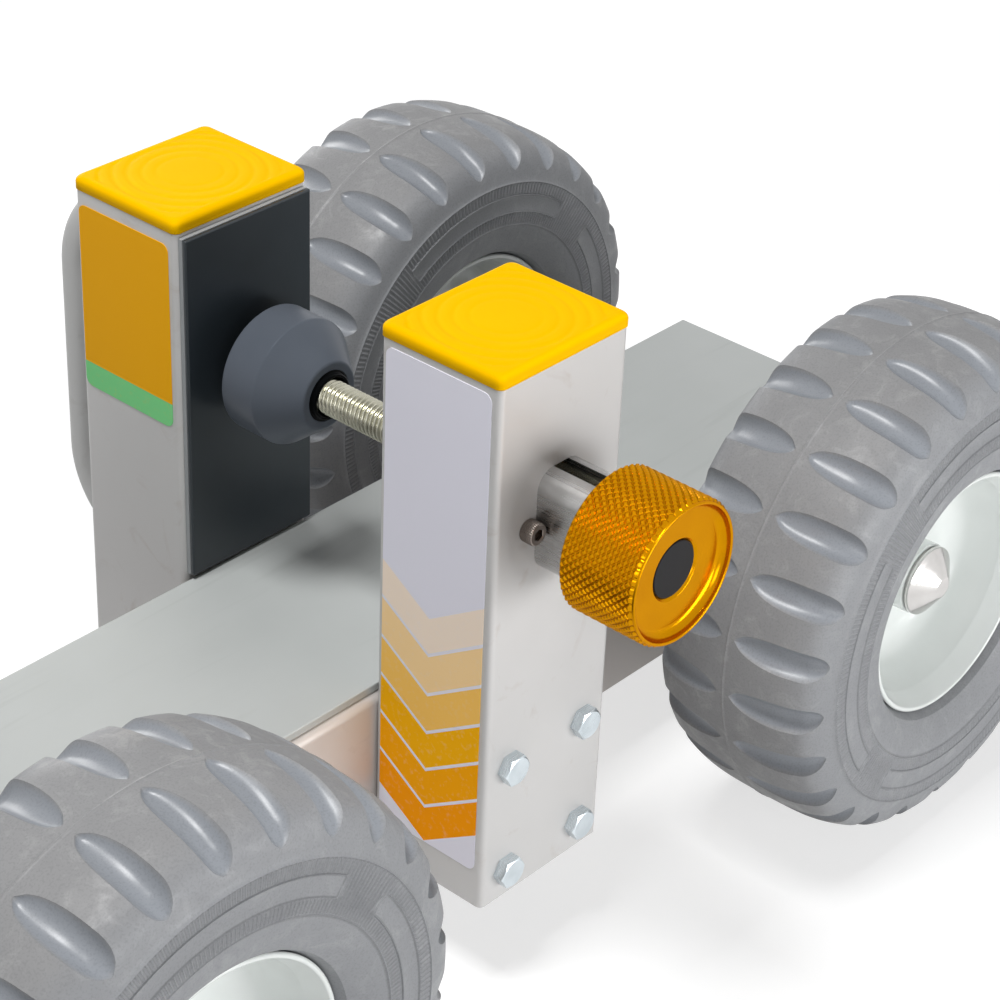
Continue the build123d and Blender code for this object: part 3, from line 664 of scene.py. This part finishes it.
def tread_relief(run, first_scoop, band_run):
    """The tread's angles, relief and mark on a grid of runs by columns.

    A scoop sinks by its depth times 1 - |t| ^ 2.6 across its width, shallower at its nose and toe, and
    the columns bend to follow its edges, then ease back to even by the band's run. Bells raise the seam
    and the shoulder, and another sinks the sidewall below it. The mark is 1 where the skin is as moulded
    and 0 where the tread is worn."""
    number = np.arange(TYRE_COLUMNS)
    place = number % PER_STEP
    cut = place <= ACROSS_SCOOP
    across = np.where(cut, 2 * place / ACROSS_SCOOP - 1, 0)
    centre = np.radians(first_scoop) + number // PER_STEP * SCOOP_STEP
    fold = np.abs(run)[:, None]
    share = (fold - SCOOP_START) / (SCOOP_END - SCOOP_START)
    leaf = scoop_leaf(share)
    share = np.clip(share, 0, 1)
    ease = np.clip((fold - SCOOP_END) / (band_run - SCOOP_END), 0, 1)
    half = np.radians(SCOOP_HALF_ANGLE) * np.maximum(leaf, SCOOP_LEAST)
    half = half + (ACROSS_SCOOP / 2 / PER_STEP * SCOOP_STEP - half) * ease ** 2 * (3 - 2 * ease)
    land = half + (SCOOP_STEP - 2 * half) * (place - ACROSS_SCOOP) / ACROSS_LAND
    angle = centre + np.where(cut, half * across, land)
    toe = np.clip((share - SCOOP_WIDEST) / (1 - SCOOP_WIDEST), 0, 1)
    deep = SCOOP_DEPTH * np.sqrt(leaf) * (SCOOP_NOSE + (1 - SCOOP_NOSE) * share)
    deep = deep * (1 - SCOOP_TOE * toe ** SCOOP_TOE_POWER)
    sunk = deep * np.where(cut, 1 - np.abs(across) ** SCOOP_FLOOR_POWER, 0)
    seam = SEAM_HEIGHT * bell(fold, SEAM_WIDTH)
    shoulder = SHOULDER_RISE * bell(fold - SHOULDER_RUN, SHOULDER_WIDTH)
    hollow = HOLLOW_DEPTH * bell(fold - HOLLOW_RUN, SHOULDER_WIDTH)
    skin = SIDE_MARK * np.clip((fold - WEAR_END) / WEAR_FADE, 0, 1)
    moulded = np.maximum(skin, np.clip(sunk / WEAR_DEPTH, 0, 1))
    return angle, seam + shoulder - hollow - sunk, moulded


def band_relief(radius, angle):
    """The sidewall's moulded band and the painted shade in its grooves: two fine circles, and radial ribs
    that stop at four blank framed panels.

    A rib is a raised cosine to the third power round the wheel, with painted shade between ribs. A line is
    a bell across its own middle, with painted shade along its inner side. A panel's ends are pointed."""
    wave = 0.5 + 0.5 * np.cos(angle * SCOOPS * RIBS_PER_SCOOP)
    rib = RIB_HEIGHT * wave ** RIB_POWER
    ribbed = (radius < BAND_OUTER - LINE_WIDTH) & (radius > BAND_INNER + LINE_WIDTH)
    turn = TURN / PANELS
    off = np.abs((angle + turn / 2) % turn - turn / 2)
    half_panel = turn / 2 - np.radians(PANEL_GAP) / 2
    reach = (half_panel - off) * radius - np.abs(radius - PANEL_MIDDLE) * PANEL_POINT
    inside = np.minimum(np.minimum(PANEL_OUTER - radius, radius - PANEL_INNER), reach)
    on_ribs = ribbed & (inside < -RIB_CLEAR)
    circles = sum(bell(radius - line, LINE_WIDTH) for line in (BAND_OUTER, BAND_INNER))
    frame_line = LINE_HEIGHT * bell(inside, LINE_WIDTH)
    relief = LINE_HEIGHT * circles + np.where(inside > -LINE_WIDTH, frame_line, np.where(on_ribs, rib, 0))
    # Painted shade: a dark mark inside each circle line and each panel's frame, and between the ribs, where
    # shade would gather.
    beside = sum(bell(radius - line + GROOVE_SHADE_OFFSET, GROOVE_SHADE_WIDTH) for line in (BAND_OUTER, BAND_INNER))
    edge = bell(inside - GROOVE_SHADE_OFFSET, GROOVE_SHADE_WIDTH)
    groove_shade = np.maximum(np.where(on_ribs, (1 - wave) ** GROOVE_SHADE_POWER, 0), np.maximum(edge, beside))
    return relief, groove_shade


def joined_bands(grids):
    """The faces of the tyre's four bands and of the strips between them. A coarse band meets one that has
    four columns for each of its own in seven-sided faces."""
    starts = np.cumsum([0] + [grid.shape[0] * grid.shape[1] for grid in grids])
    faces = [quads(*grid.shape[:2], start) for grid, start in zip(grids, starts)]
    number = np.arange(TYRE_COLUMNS)
    after = (number + 1) % TYRE_COLUMNS
    beside = [(SIDE_FINE * number + part) % (SIDE_FINE * TYRE_COLUMNS) for part in range(SIDE_FINE + 1)]
    for here, grid in enumerate(grids):
        last = starts[here] + (grid.shape[0] - 1) * grid.shape[1]
        first = starts[(here + 1) % len(grids)]
        if grid.shape[1] == TYRE_COLUMNS:
            strip = [last + number, last + after] + [first + part for part in beside[::-1]]
        else:
            strip = [last + part for part in beside] + [first + after, first + number]
        faces.append(np.stack(strip, 1))
    return faces


def tyre_surface(radius, half_width, first_scoop):
    """The tyre as four bands of a closed grid round its section: tread, sidewall, bore, sidewall. Each
    point is the section's point plus the relief along its normal. Gives its shape and its marks, moulded
    skin and painted groove shade."""
    section = tyre_section(radius, half_width)
    length, _, r = section[:3]
    total = length[-1]
    lines = np.array([BAND_OUTER, PANEL_OUTER, PANEL_INNER, BAND_INNER])
    rows = (lines[:, None] + np.array(LINE_ROWS)).ravel()
    rows = np.sort(np.append(rows[1:-1], PANEL_MIDDLE))[::-1]
    band = np.interp(-rows, -r, length)
    ledge = np.linspace(LEDGE_START, band[0] - LEDGE_CLEAR, LEDGE_ROWS)
    tread_half = np.concatenate([SEAM_ROWS, SCOOP_ROWS, ledge])
    tread = np.concatenate([-tread_half[:0:-1], tread_half])
    bead = np.linspace(band[-1] + BEAD_CLEAR, total - BEAD_END, BEAD_ROWS)
    bore_half = np.concatenate([bead, [total - BORE_EDGE, total]])
    bore = np.concatenate([bore_half, 2 * total - bore_half[-2::-1]])

    tread_angle, tread_rise, moulded = tread_relief(tread, first_scoop, band[0])
    even = np.radians(first_scoop) + (np.arange(TYRE_COLUMNS) - ACROSS_SCOOP / 2) * SCOOP_STEP / PER_STEP
    fine = np.arange(SIDE_FINE * TYRE_COLUMNS) / SIDE_FINE - ACROSS_SCOOP / 2
    fine = np.radians(first_scoop) + fine * SCOOP_STEP / PER_STEP
    relief, groove_shade = band_relief(rows[:, None], fine[None])
    grids = [
        on_section(section, tread, tread_angle, tread_rise),
        on_section(section, band, np.broadcast_to(fine, relief.shape), relief),
        on_section(section, bore, np.broadcast_to(even, (len(bore), TYRE_COLUMNS)), 0),
        on_section(section, 2 * total - band[::-1], np.broadcast_to(fine, relief.shape), relief[::-1]),
    ]
    points = np.concatenate([grid.reshape(-1, 3) for grid in grids])
    skin = np.concatenate([moulded.ravel(), np.full(len(points) - moulded.size, SIDE_MARK)])
    clean_tread = np.zeros(moulded.size)
    clean_bore = np.zeros(len(bore) * TYRE_COLUMNS)
    # The painted groove shade lies on the sidewalls only; the tread and bore get none.
    darkening = np.concatenate([clean_tread, groove_shade.ravel(), clean_bore, groove_shade[::-1].ravel()])
    return points, joined_bands(grids), {"moulded": skin, "groove_shade": darkening}


def rim_corners(hub_radius, hub_out, hub_in):
    """The rim, disc and hub as one closed (radius, outward) line: rolled lips, two bowls and the tube."""
    return [
        (RIM_LIP, RIM_HALF, RIM_LIP_ROUND),
        (RIM_BARREL, RIM_HALF - RIM_FLARE, RIM_BARREL_ROUND),
        (RIM_BARREL, RIM_FLARE - RIM_HALF, RIM_BARREL_ROUND),
        (RIM_LIP, -RIM_HALF, RIM_LIP_ROUND),
        (RIM_LIP_INSIDE, -RIM_HALF, RIM_LIP_ROUND),
        (RIM_NECK, RIM_FLARE - RIM_HALF, RIM_NECK_ROUND),
        (RIM_DISC_EDGE, -RIM_DISC_HALF, RIM_DISH_ROUND),
        (hub_radius, -RIM_DISC_HALF, HUB_ROOT_ROUND),
        (hub_radius, -hub_in, HUB_INNER_ROUND),
        (HUB_BORE, -hub_in, 0),
        (HUB_BORE, hub_out, 0),
        (hub_radius, hub_out, HUB_OUTER_ROUND),
        (hub_radius, RIM_DISC_HALF, HUB_ROOT_ROUND),
        (RIM_DISC_EDGE, RIM_DISC_HALF, RIM_DISH_ROUND),
        (RIM_NECK, RIM_HALF - RIM_FLARE, RIM_NECK_ROUND),
        (RIM_LIP_INSIDE, RIM_HALF, RIM_LIP_ROUND),
    ]


def axle_cap_corners(radius, half):
    """The axle's cap: a narrow collar and a cone drawn in to a rounded tip."""
    return [
        (AXIS_HOLE, half, 0),
        (AXLE_CAP_TIP, half, AXLE_CAP_TIP_ROUND),
        (radius, AXLE_CAP_COLLAR - half, AXLE_CAP_SIDE_ROUND),
        (radius, -half, AXLE_CAP_FOOT_ROUND),
        (AXIS_HOLE, -half, 0),
    ]


def puck_corners(face, back):
    """The puck: a flat face, a short cylinder and a cone down to the neck that holds the grommet."""
    return [
        (AXIS_HOLE, face, 0),
        (PUCK_RADIUS, face, PUCK_FACE_ROUND),
        (PUCK_RADIUS, face - PUCK_CYLINDER, PUCK_CREASE_ROUND),
        (PUCK_NECK, back, PUCK_NECK_ROUND),
        (PUCK_SEAT, back, 0),
        (PUCK_SEAT, back + GROMMET_LENGTH, 0),
        (AXIS_HOLE, back + GROMMET_LENGTH, 0),
    ]


def grommet_corners(radius, back):
    """The grommet: a ring in the puck's neck with a raised lip round the rod."""
    return [
        (radius, back + GROMMET_LENGTH, 0),
        (radius, back, GROMMET_EDGE_ROUND),
        (GROMMET_LIP, back, GROMMET_ROOT_ROUND),
        (GROMMET_LIP - GROMMET_LIP_TAPER, back - GROMMET_RISE, GROMMET_LIP_ROUND),
        (GROMMET_HOLE, back - GROMMET_RISE, GROMMET_LIP_ROUND),
        (GROMMET_HOLE, back + GROMMET_LENGTH, 0),
    ]


def guide_tube_surface():
    """The tube as a C of even wall along Y: an outline from one side of its top slot round to the other
    and back along the inside, with a strip of faces across the wall at each end."""
    low, high, middle = span("guide_tube")
    half_x, half_z = (high - low)[[0, 2]] / 2
    slot = TUBE_SLOT / 2

    def skin(inset):
        """The open outline at a distance inside the tube's outer skin."""
        x, z, corner = half_x - inset, half_z - inset, TUBE_CORNER - inset
        bends = [(x, z, corner), (x, -z, corner), (-x, -z, corner), (-x, z, corner)]
        return outline([(slot, z, 0)] + bends + [(-slot, z, 0)])

    ring = np.concatenate([skin(0), skin(TUBE_WALL)[::-1]])
    count = len(ring)
    ends = np.array([low[1], high[1]])
    x = np.broadcast_to(middle[0] + ring[:, 0], (2, count))
    z = np.broadcast_to(middle[2] + ring[:, 1], (2, count))
    grid = np.stack([x, np.broadcast_to(ends[:, None], (2, count)), z], -1)
    first = np.arange(count // 2 - 1)
    strip = np.stack([first, count - 1 - first, count - 2 - first, first + 1], 1)
    return grid.reshape(-1, 3), [quads(2, count), strip, count + strip[:, ::-1]]


def threaded_rod_surface():
    """A right-hand thread: the radius falls and rises once per pitch of y / pitch + angle / turn, with
    flat crests and roots, and starts from its root at both ends."""
    low, high, middle = span("threaded_rod")
    radius = (high[0] - low[0]) / 2
    along = np.append(np.arange(high[1], low[1], -THREAD_PITCH / THREAD_ROWS), low[1])
    angle = np.arange(THREAD_COLUMNS) / THREAD_COLUMNS * TURN
    phase = (along[:, None] / THREAD_PITCH + angle / TURN) % 1
    crest = np.clip(THREAD_FLANK * np.abs(2 * phase - 1) - THREAD_ROOT, 0, 1)
    ends = np.minimum(high[1] - along, along - low[1])[:, None]
    size = np.minimum(radius - THREAD_DEPTH * (1 - crest), radius - THREAD_DEPTH + THREAD_RISE * ends)
    return closed(spun(size, along, (middle[0], 0, middle[2]), THREAD_COLUMNS))


def knob_surface():
    """The turned knob: a closed profile, whose outside carries a diamond knurl of flat-topped squares.

    Two sets of grooves cross at angle steps plus and minus y steps. Each is a V, and the deeper of the
    two is cut."""
    low, high, middle = span("clamp_knob")
    radius = (high[0] - low[0]) / 2
    back, front = high[1], low[1]
    dish = front + KNOB_DISH_DEPTH
    recess = dish + KNOB_DISC_RECESS
    floor = back - KNOB_BORE_DEPTH
    columns = KNURL_STEPS * KNURL_FINE
    knurl = np.arange(back - KNURL_BACK, front + KNURL_FRONT, -TURN * radius / columns)
    step = np.arange(columns) / KNURL_FINE
    along = np.arange(len(knurl))[:, None] / KNURL_FINE
    across = np.minimum(*(np.abs((way + 0.5) % 1 - 0.5) for way in (step + along, step - along)))
    knurled = radius - KNURL_DEPTH * np.clip(1 - across / KNURL_GROOVE, 0, 1)
    inside = outline([
        (radius - KNOB_EDGE, front + KNOB_EDGE, 0),
        (radius - KNOB_EDGE, front, KNOB_EDGE_ROUND),
        (radius - KNOB_RIM, front, KNOB_RIM_ROUND),
        (radius - KNOB_RIM, dish, KNOB_DISH_ROUND),
        (KNOB_DISC_SEAT + KNOB_EDGE, dish, KNOB_EDGE_ROUND),
        (KNOB_DISC_SEAT, dish + KNOB_EDGE, KNOB_SEAT_ROUND),
        (KNOB_DISC_SEAT, recess, 0),
        (KNOB_SCREW_HOLE, recess, 0),
        (KNOB_SCREW_HOLE, recess + KNOB_SCREW_SEAT, 0),
        (KNOB_BOSS, floor + KNOB_BOSS_LENGTH, 0),
        (KNOB_BOSS, floor, 0),
        (KNOB_BORE, floor, 0),
        (KNOB_BORE, back, KNOB_EDGE_ROUND),
        (radius - KNOB_EDGE, back, KNOB_EDGE_ROUND),
    ])
    smooth = np.broadcast_to(inside[:, :1], (len(inside), columns))
    rows = np.concatenate([knurl, inside[:, 1]])
    grid = spun(np.concatenate([knurled, smooth]), rows, (middle[0], 0, middle[2]), columns)
    return closed(grid, ring=True)


def socket_screw_surface():
    """A cap screw: a head with a cosine of ribs round its edge, a six-sided socket and a plain shank."""
    low, high, middle = span("tube_screw")
    angle = np.arange(SCREW_COLUMNS) / SCREW_COLUMNS * TURN
    head = (high[0] - low[0]) / 2
    front, face = low[1], low[1] + SCREW_HEAD_LENGTH
    ribs = head - SCREW_RIB + SCREW_RIB * np.cos(angle * SCREW_RIBS)
    six = SCREW_SOCKET / 2 / np.cos((angle + TURN / 12) % (TURN / 6) - TURN / 12)
    rows = [
        (SCREW_SHANK, high[1]),
        (SCREW_SHANK, face),
        (head - SCREW_BACK_INSET, face),
        (ribs, face - SCREW_BACK_RISE),
        (ribs, front + SCREW_EDGE),
        (head - SCREW_CHAMFER, front + SCREW_CHAMFER),
        (head - SCREW_EDGE, front),
        (six + SCREW_CHAMFER, front),
        (six, front + SCREW_CHAMFER),
        (six, front + SCREW_SOCKET_DEPTH),
    ]
    radius = np.stack([np.broadcast_to(row[0], SCREW_COLUMNS) for row in rows])
    offset = np.array([row[1] for row in rows])
    return closed(spun(radius, offset, (middle[0], 0, middle[2]), SCREW_COLUMNS))


def cap_outline(half_x, half_y):
    """A round-cornered square with points spread evenly along it, besides those of its corners."""
    corners = [(half_x, half_y), (-half_x, half_y), (-half_x, -half_y), (half_x, -half_y)]
    around = outline([(x, y, CAP_CORNER) for x, y in corners], CAP_CORNER_STEPS)
    ring = np.concatenate([around, around[:1]])
    length = np.concatenate([[0], np.cumsum(np.hypot(*np.diff(ring, axis=0).T))])
    even = np.sort(np.concatenate([np.linspace(0, length[-1], CAP_COLUMNS, endpoint=False), length[:-1]]))
    even = even[np.concatenate([[True], np.diff(even) > SAME_PLACE])]
    return np.stack([np.interp(even, length, ring[:, part]) for part in (0, 1)], 1)


def cap_surface(node):
    """A post cap: its outline shrinks over a quarter round at the top edge, then in to the middle of a
    top with shallow rings. These are a raised cosine of the distance from the middle, to a power, and
    grow fainter towards it."""
    low, high, middle = span(node)
    half_x, half_y = (high - low)[:2] / 2
    foot = high[2] - CAP_THICKNESS
    arc = np.linspace(0, np.pi / 2, CAP_EDGE_ROWS)
    top = np.linspace(CAP_EDGE + CAP_TOP_CLEAR, half_y - CAP_TOP_CLEAR, CAP_TOP_ROWS)
    inset = np.concatenate([[CAP_UNDERSIDE, CAP_FOOT_INSET, 0], CAP_EDGE * (1 - np.cos(arc)), top])
    rise = CAP_THICKNESS - CAP_EDGE * (1 - np.sin(arc))
    height = np.concatenate([[0, 0, CAP_FOOT_RISE], rise, np.full(CAP_TOP_ROWS, CAP_THICKNESS)])
    share = 1 - inset[:, None] / np.array([half_x, half_y])
    flat = cap_outline(half_x, half_y)[None] * share[:, None, :]
    far = np.hypot(flat[..., 0], flat[..., 1])
    wave = 0.5 + 0.5 * np.cos((far - CAP_RING_FIRST) / CAP_RING_STEP * TURN)
    ringed = (far > CAP_RING_FIRST - CAP_RING_STEP / 2) & (far < CAP_RING_LAST)
    ringed = ringed & (inset[:, None] > CAP_EDGE + CAP_RING_CLEAR)
    rings = -CAP_RING_DEPTH * np.clip(far / CAP_RING_LAST, 0, 1) * wave ** CAP_RING_POWER * ringed
    grid = np.concatenate([flat, (height[:, None] + rings)[..., None]], -1)
    return closed(grid + np.array([middle[0], middle[1], foot]))


def slab(node):
    """A flat sheet's eight corners and six faces, from the node's box; a bevel softens its edges."""
    low, high, _ = span(node)
    corner = np.array([(a, b, c) for c in (0, 1) for b in (0, 1) for a in (0, 1)])
    faces = np.array([(0, 2, 3, 1), (4, 5, 7, 6), (0, 1, 5, 4), (2, 6, 7, 3), (0, 4, 6, 2), (1, 3, 7, 5)])
    return np.where(corner, high, low), [faces]


def soften(obj, width):
    """A bevel over a sheet's edges."""
    bevel = obj.modifiers.new("soft edge", "BEVEL")
    bevel.width = width * MM
    bevel.segments = 3
    bevel.limit_method = "ANGLE"
    bevel.harden_normals = True


# Pieces

for wheel, first_scoop in SCOOP_CENTRES.items():
    low, high, middle = span(wheel + "_tyre")
    side = np.sign(middle[1])
    points, faces, marks = tyre_surface((high[2] - low[2]) / 2, (high[1] - low[1]) / 2, first_scoop)
    piece(wheel + "_foam_tyre", (points + middle, faces), tyre_finish, wheel + "_wheel",
          [wheel + "_tyre"], sharp=32, marks=marks)
    hub_low, hub_high, _ = span(wheel + "_hub_tube")
    hub_ends = np.sort(side * (np.array([hub_low[1], hub_high[1]]) - middle[1]))
    corners = rim_corners((hub_high[0] - hub_low[0]) / 2, hub_ends[1], -hub_ends[0])
    piece(wheel + "_enamel_rim", turned(corners, middle, side, RIM_COLUMNS), rim_finish, wheel + "_wheel",
          [wheel + "_rim", wheel + "_wheel_disc", wheel + "_hub_tube"], sharp=40)
    low, high, middle = span(wheel + "_axle_cap")
    corners = axle_cap_corners((high[0] - low[0]) / 2, (high[1] - low[1]) / 2)
    piece(wheel + "_bright_cap", turned(corners, middle, side), turned_finish, "root",
          [wheel + "_axle_cap"], sharp=40)
    dress(machined_finish, wheel + "_stub_axle", wheel + "_axle_washers", wheel + "_hub_bearings")

piece("screw_thread", threaded_rod_surface(), rod_finish, "screw", ["threaded_rod"],
      sharp=50)
piece("knurled_knob", knob_surface(), knob_finish, "screw", ["clamp_knob"],
      sharp=28)
piece("bright_guide_tube", guide_tube_surface(), polished_finish, "root", ["guide_tube"],
      sharp=30)
low, high, middle = span("clamp_puck")
axis = (middle[0], 0, middle[2])
corners = puck_corners(high[1], low[1])
piece("moulded_puck", turned(corners, axis), puck_finish, "puck", ["clamp_puck"],
      sharp=35)
low, high, _ = span("puck_grommet")
corners = grommet_corners((high[0] - low[0]) / 2, low[1])
piece("lipped_grommet", turned(corners, axis), grommet_finish, "puck", ["puck_grommet"],
      sharp=40)
piece("tube_cap_screw", socket_screw_surface(), screw_finish, "root", ["tube_screw"],
      sharp=35)
for post in ("front", "rear"):
    piece(post + "_post_cap", cap_surface(post + "_cap"), cap_finish, "root",
          [post + "_cap"])
    dress(post_finish, post + "_post")
    dress(zinc_finish, post + "_post_bolts", post + "_post_nuts")
for node, name, look, slot, width in (
    ("deck_mat", "deck_sheet", mat_finish, "deck_mat_vinyl", 0.7),
    ("pad_plate", "pad_back_sheet", backing_finish, "pad_backing", 0.3),
    ("pad_face", "pad_rubber_sheet", rubber_finish, "pad_rubber", 0.8),
):
    soften(piece(name, slab(node), look, "root", [node]), width)
dress(channel_finish, "deck_channel")
dress(handle_finish, "carry_handle")
dress(front_sticker, "front_label")
dress(rear_sticker, "rear_label")
dress(zinc_finish, "axle_plate_bolts", "axle_plate_nuts", "handle_screws", "clamp_nut", "knob_screw",
      "puck_snap_ring")
dress(disc_finish, "knob_insert")


# Stage, in metres and watts

def lamp(name, place, aim, size, power):
    """A soft rectangular lamp that faces the point it is aimed at."""
    light = bpy.data.lights.new(name, "AREA")
    light.shape = "RECTANGLE"
    light.size, light.size_y = size
    light.energy = power
    obj = bpy.data.objects.new(name, light)
    obj.location = place
    obj.rotation_euler = (Vector(aim) - Vector(place)).to_track_quat("-Z", "Y").to_euler()
    scene.collection.objects.link(obj)


def in_sight(tree):
    """A node that is 1 on rays from the camera, off glossy things and through glass, and 0 on the rest."""
    path = add(tree, "LightPath").outputs
    seen = add(tree, "Math", {0: path["Is Camera Ray"], 1: path["Is Glossy Ray"]}, operation="MAXIMUM")
    return add(tree, "Math", {0: seen, 1: path["Is Transmission Ray"]}, operation="MAXIMUM")


def white_surroundings(ambient):
    """A world that the camera, reflections and glass see as white, and that lights the object gently."""
    world = bpy.data.worlds.new("white studio")
    scene.world = world
    world.use_nodes = True
    tree = world.node_tree
    tree.nodes.clear()
    strength = add(tree, "MapRange", {"Value": in_sight(tree), "To Min": ambient, "To Max": 1.0})
    sky = add(tree, "Background", {"Color": (1, 1, 1, 1), "Strength": strength})
    add(tree, "OutputWorld", {"Surface": sky})


def white_floor(half, near, strength, fade):
    """A matt white floor that keeps a faint shadow. Where it is seen directly or mirrored, a glow of this
    strength is mixed in by the near share beside the object, and between the fade's two distances it
    becomes plain white."""
    look, tree, place = new_finish("white studio floor")
    distance = add(tree, "VectorMath", {0: place}, operation="LENGTH")
    far = add(tree, "MapRange", {"Value": distance, "From Min": fade[0], "From Max": fade[1],
                                 "To Min": near})
    lift = add(tree, "Math", {0: in_sight(tree), 1: far}, operation="MULTIPLY")
    glow = add(tree, "MapRange", {"Value": far, "From Min": near, "To Min": strength, "To Max": 1.02})
    matt = add(tree, "BsdfDiffuse", {"Color": linear("#DADADA")})
    white = add(tree, "Emission", {"Color": (1, 1, 1, 1), "Strength": glow})
    mixed = add(tree, "MixShader", {0: lift, 1: matt, 2: white})
    add(tree, "OutputMaterial", {"Surface": mixed})
    mesh = bpy.data.meshes.new("floor")
    corners = [(-half, -half, 0), (half, -half, 0), (half, half, 0), (-half, half, 0)]
    mesh.from_pydata(corners, [], [(0, 1, 2, 3)])
    mesh.materials.append(look)
    floor = bpy.data.objects.new("floor", mesh)
    scene.collection.objects.link(floor)
    floor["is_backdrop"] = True


def camera():
    """The camera from its place, its yaw from +Y towards +X, its pitch below level and its roll."""
    yaw, pitch, roll = np.radians([CAMERA_YAW, CAMERA_PITCH, CAMERA_ROLL])
    forward = np.array([np.sin(yaw) * np.cos(pitch), np.cos(yaw) * np.cos(pitch), -np.sin(pitch)])
    level = np.array([np.cos(yaw), -np.sin(yaw), 0])
    upright = np.cross(level, forward)
    matrix = np.eye(4)
    matrix[:3, 0] = np.cos(roll) * level + np.sin(roll) * upright
    matrix[:3, 1] = np.cos(roll) * upright - np.sin(roll) * level
    matrix[:3, 2] = -forward
    matrix[:3, 3] = np.array(CAMERA_PLACE) * MM
    eye = bpy.data.cameras.new("camera")
    eye.sensor_width = CAMERA_SENSOR
    eye.lens = CAMERA_LENS
    eye.clip_end = 20.0
    obj = bpy.data.objects.new("camera", eye)
    obj.matrix_world = Matrix(matrix.tolist())
    scene.collection.objects.link(obj)
    scene.camera = obj


white_surroundings(ambient=0.12)
white_floor(half=4.0, near=0.35, strength=1.85, fade=(0.5, 0.85))
lamp("overhead softbox", place=(-0.5, 0.0, 1.9), aim=(0, 0, 0.1), size=(0.5, 0.5), power=28)
lamp("front softbox", place=(0.25, -1.15, 0.18), aim=(0, 0, 0.12), size=(0.7, 0.3), power=7)
lamp("side softbox", place=(-1.0, -1.3, 0.5), aim=(0, 0, 0.15), size=(0.6, 0.6), power=4)
lamp("rear softbox", place=(0.6, 1.5, 0.6), aim=(0, 0, 0.15), size=(0.7, 0.7), power=6)
camera()
scene.view_settings.view_transform = "Standard"

low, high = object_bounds()
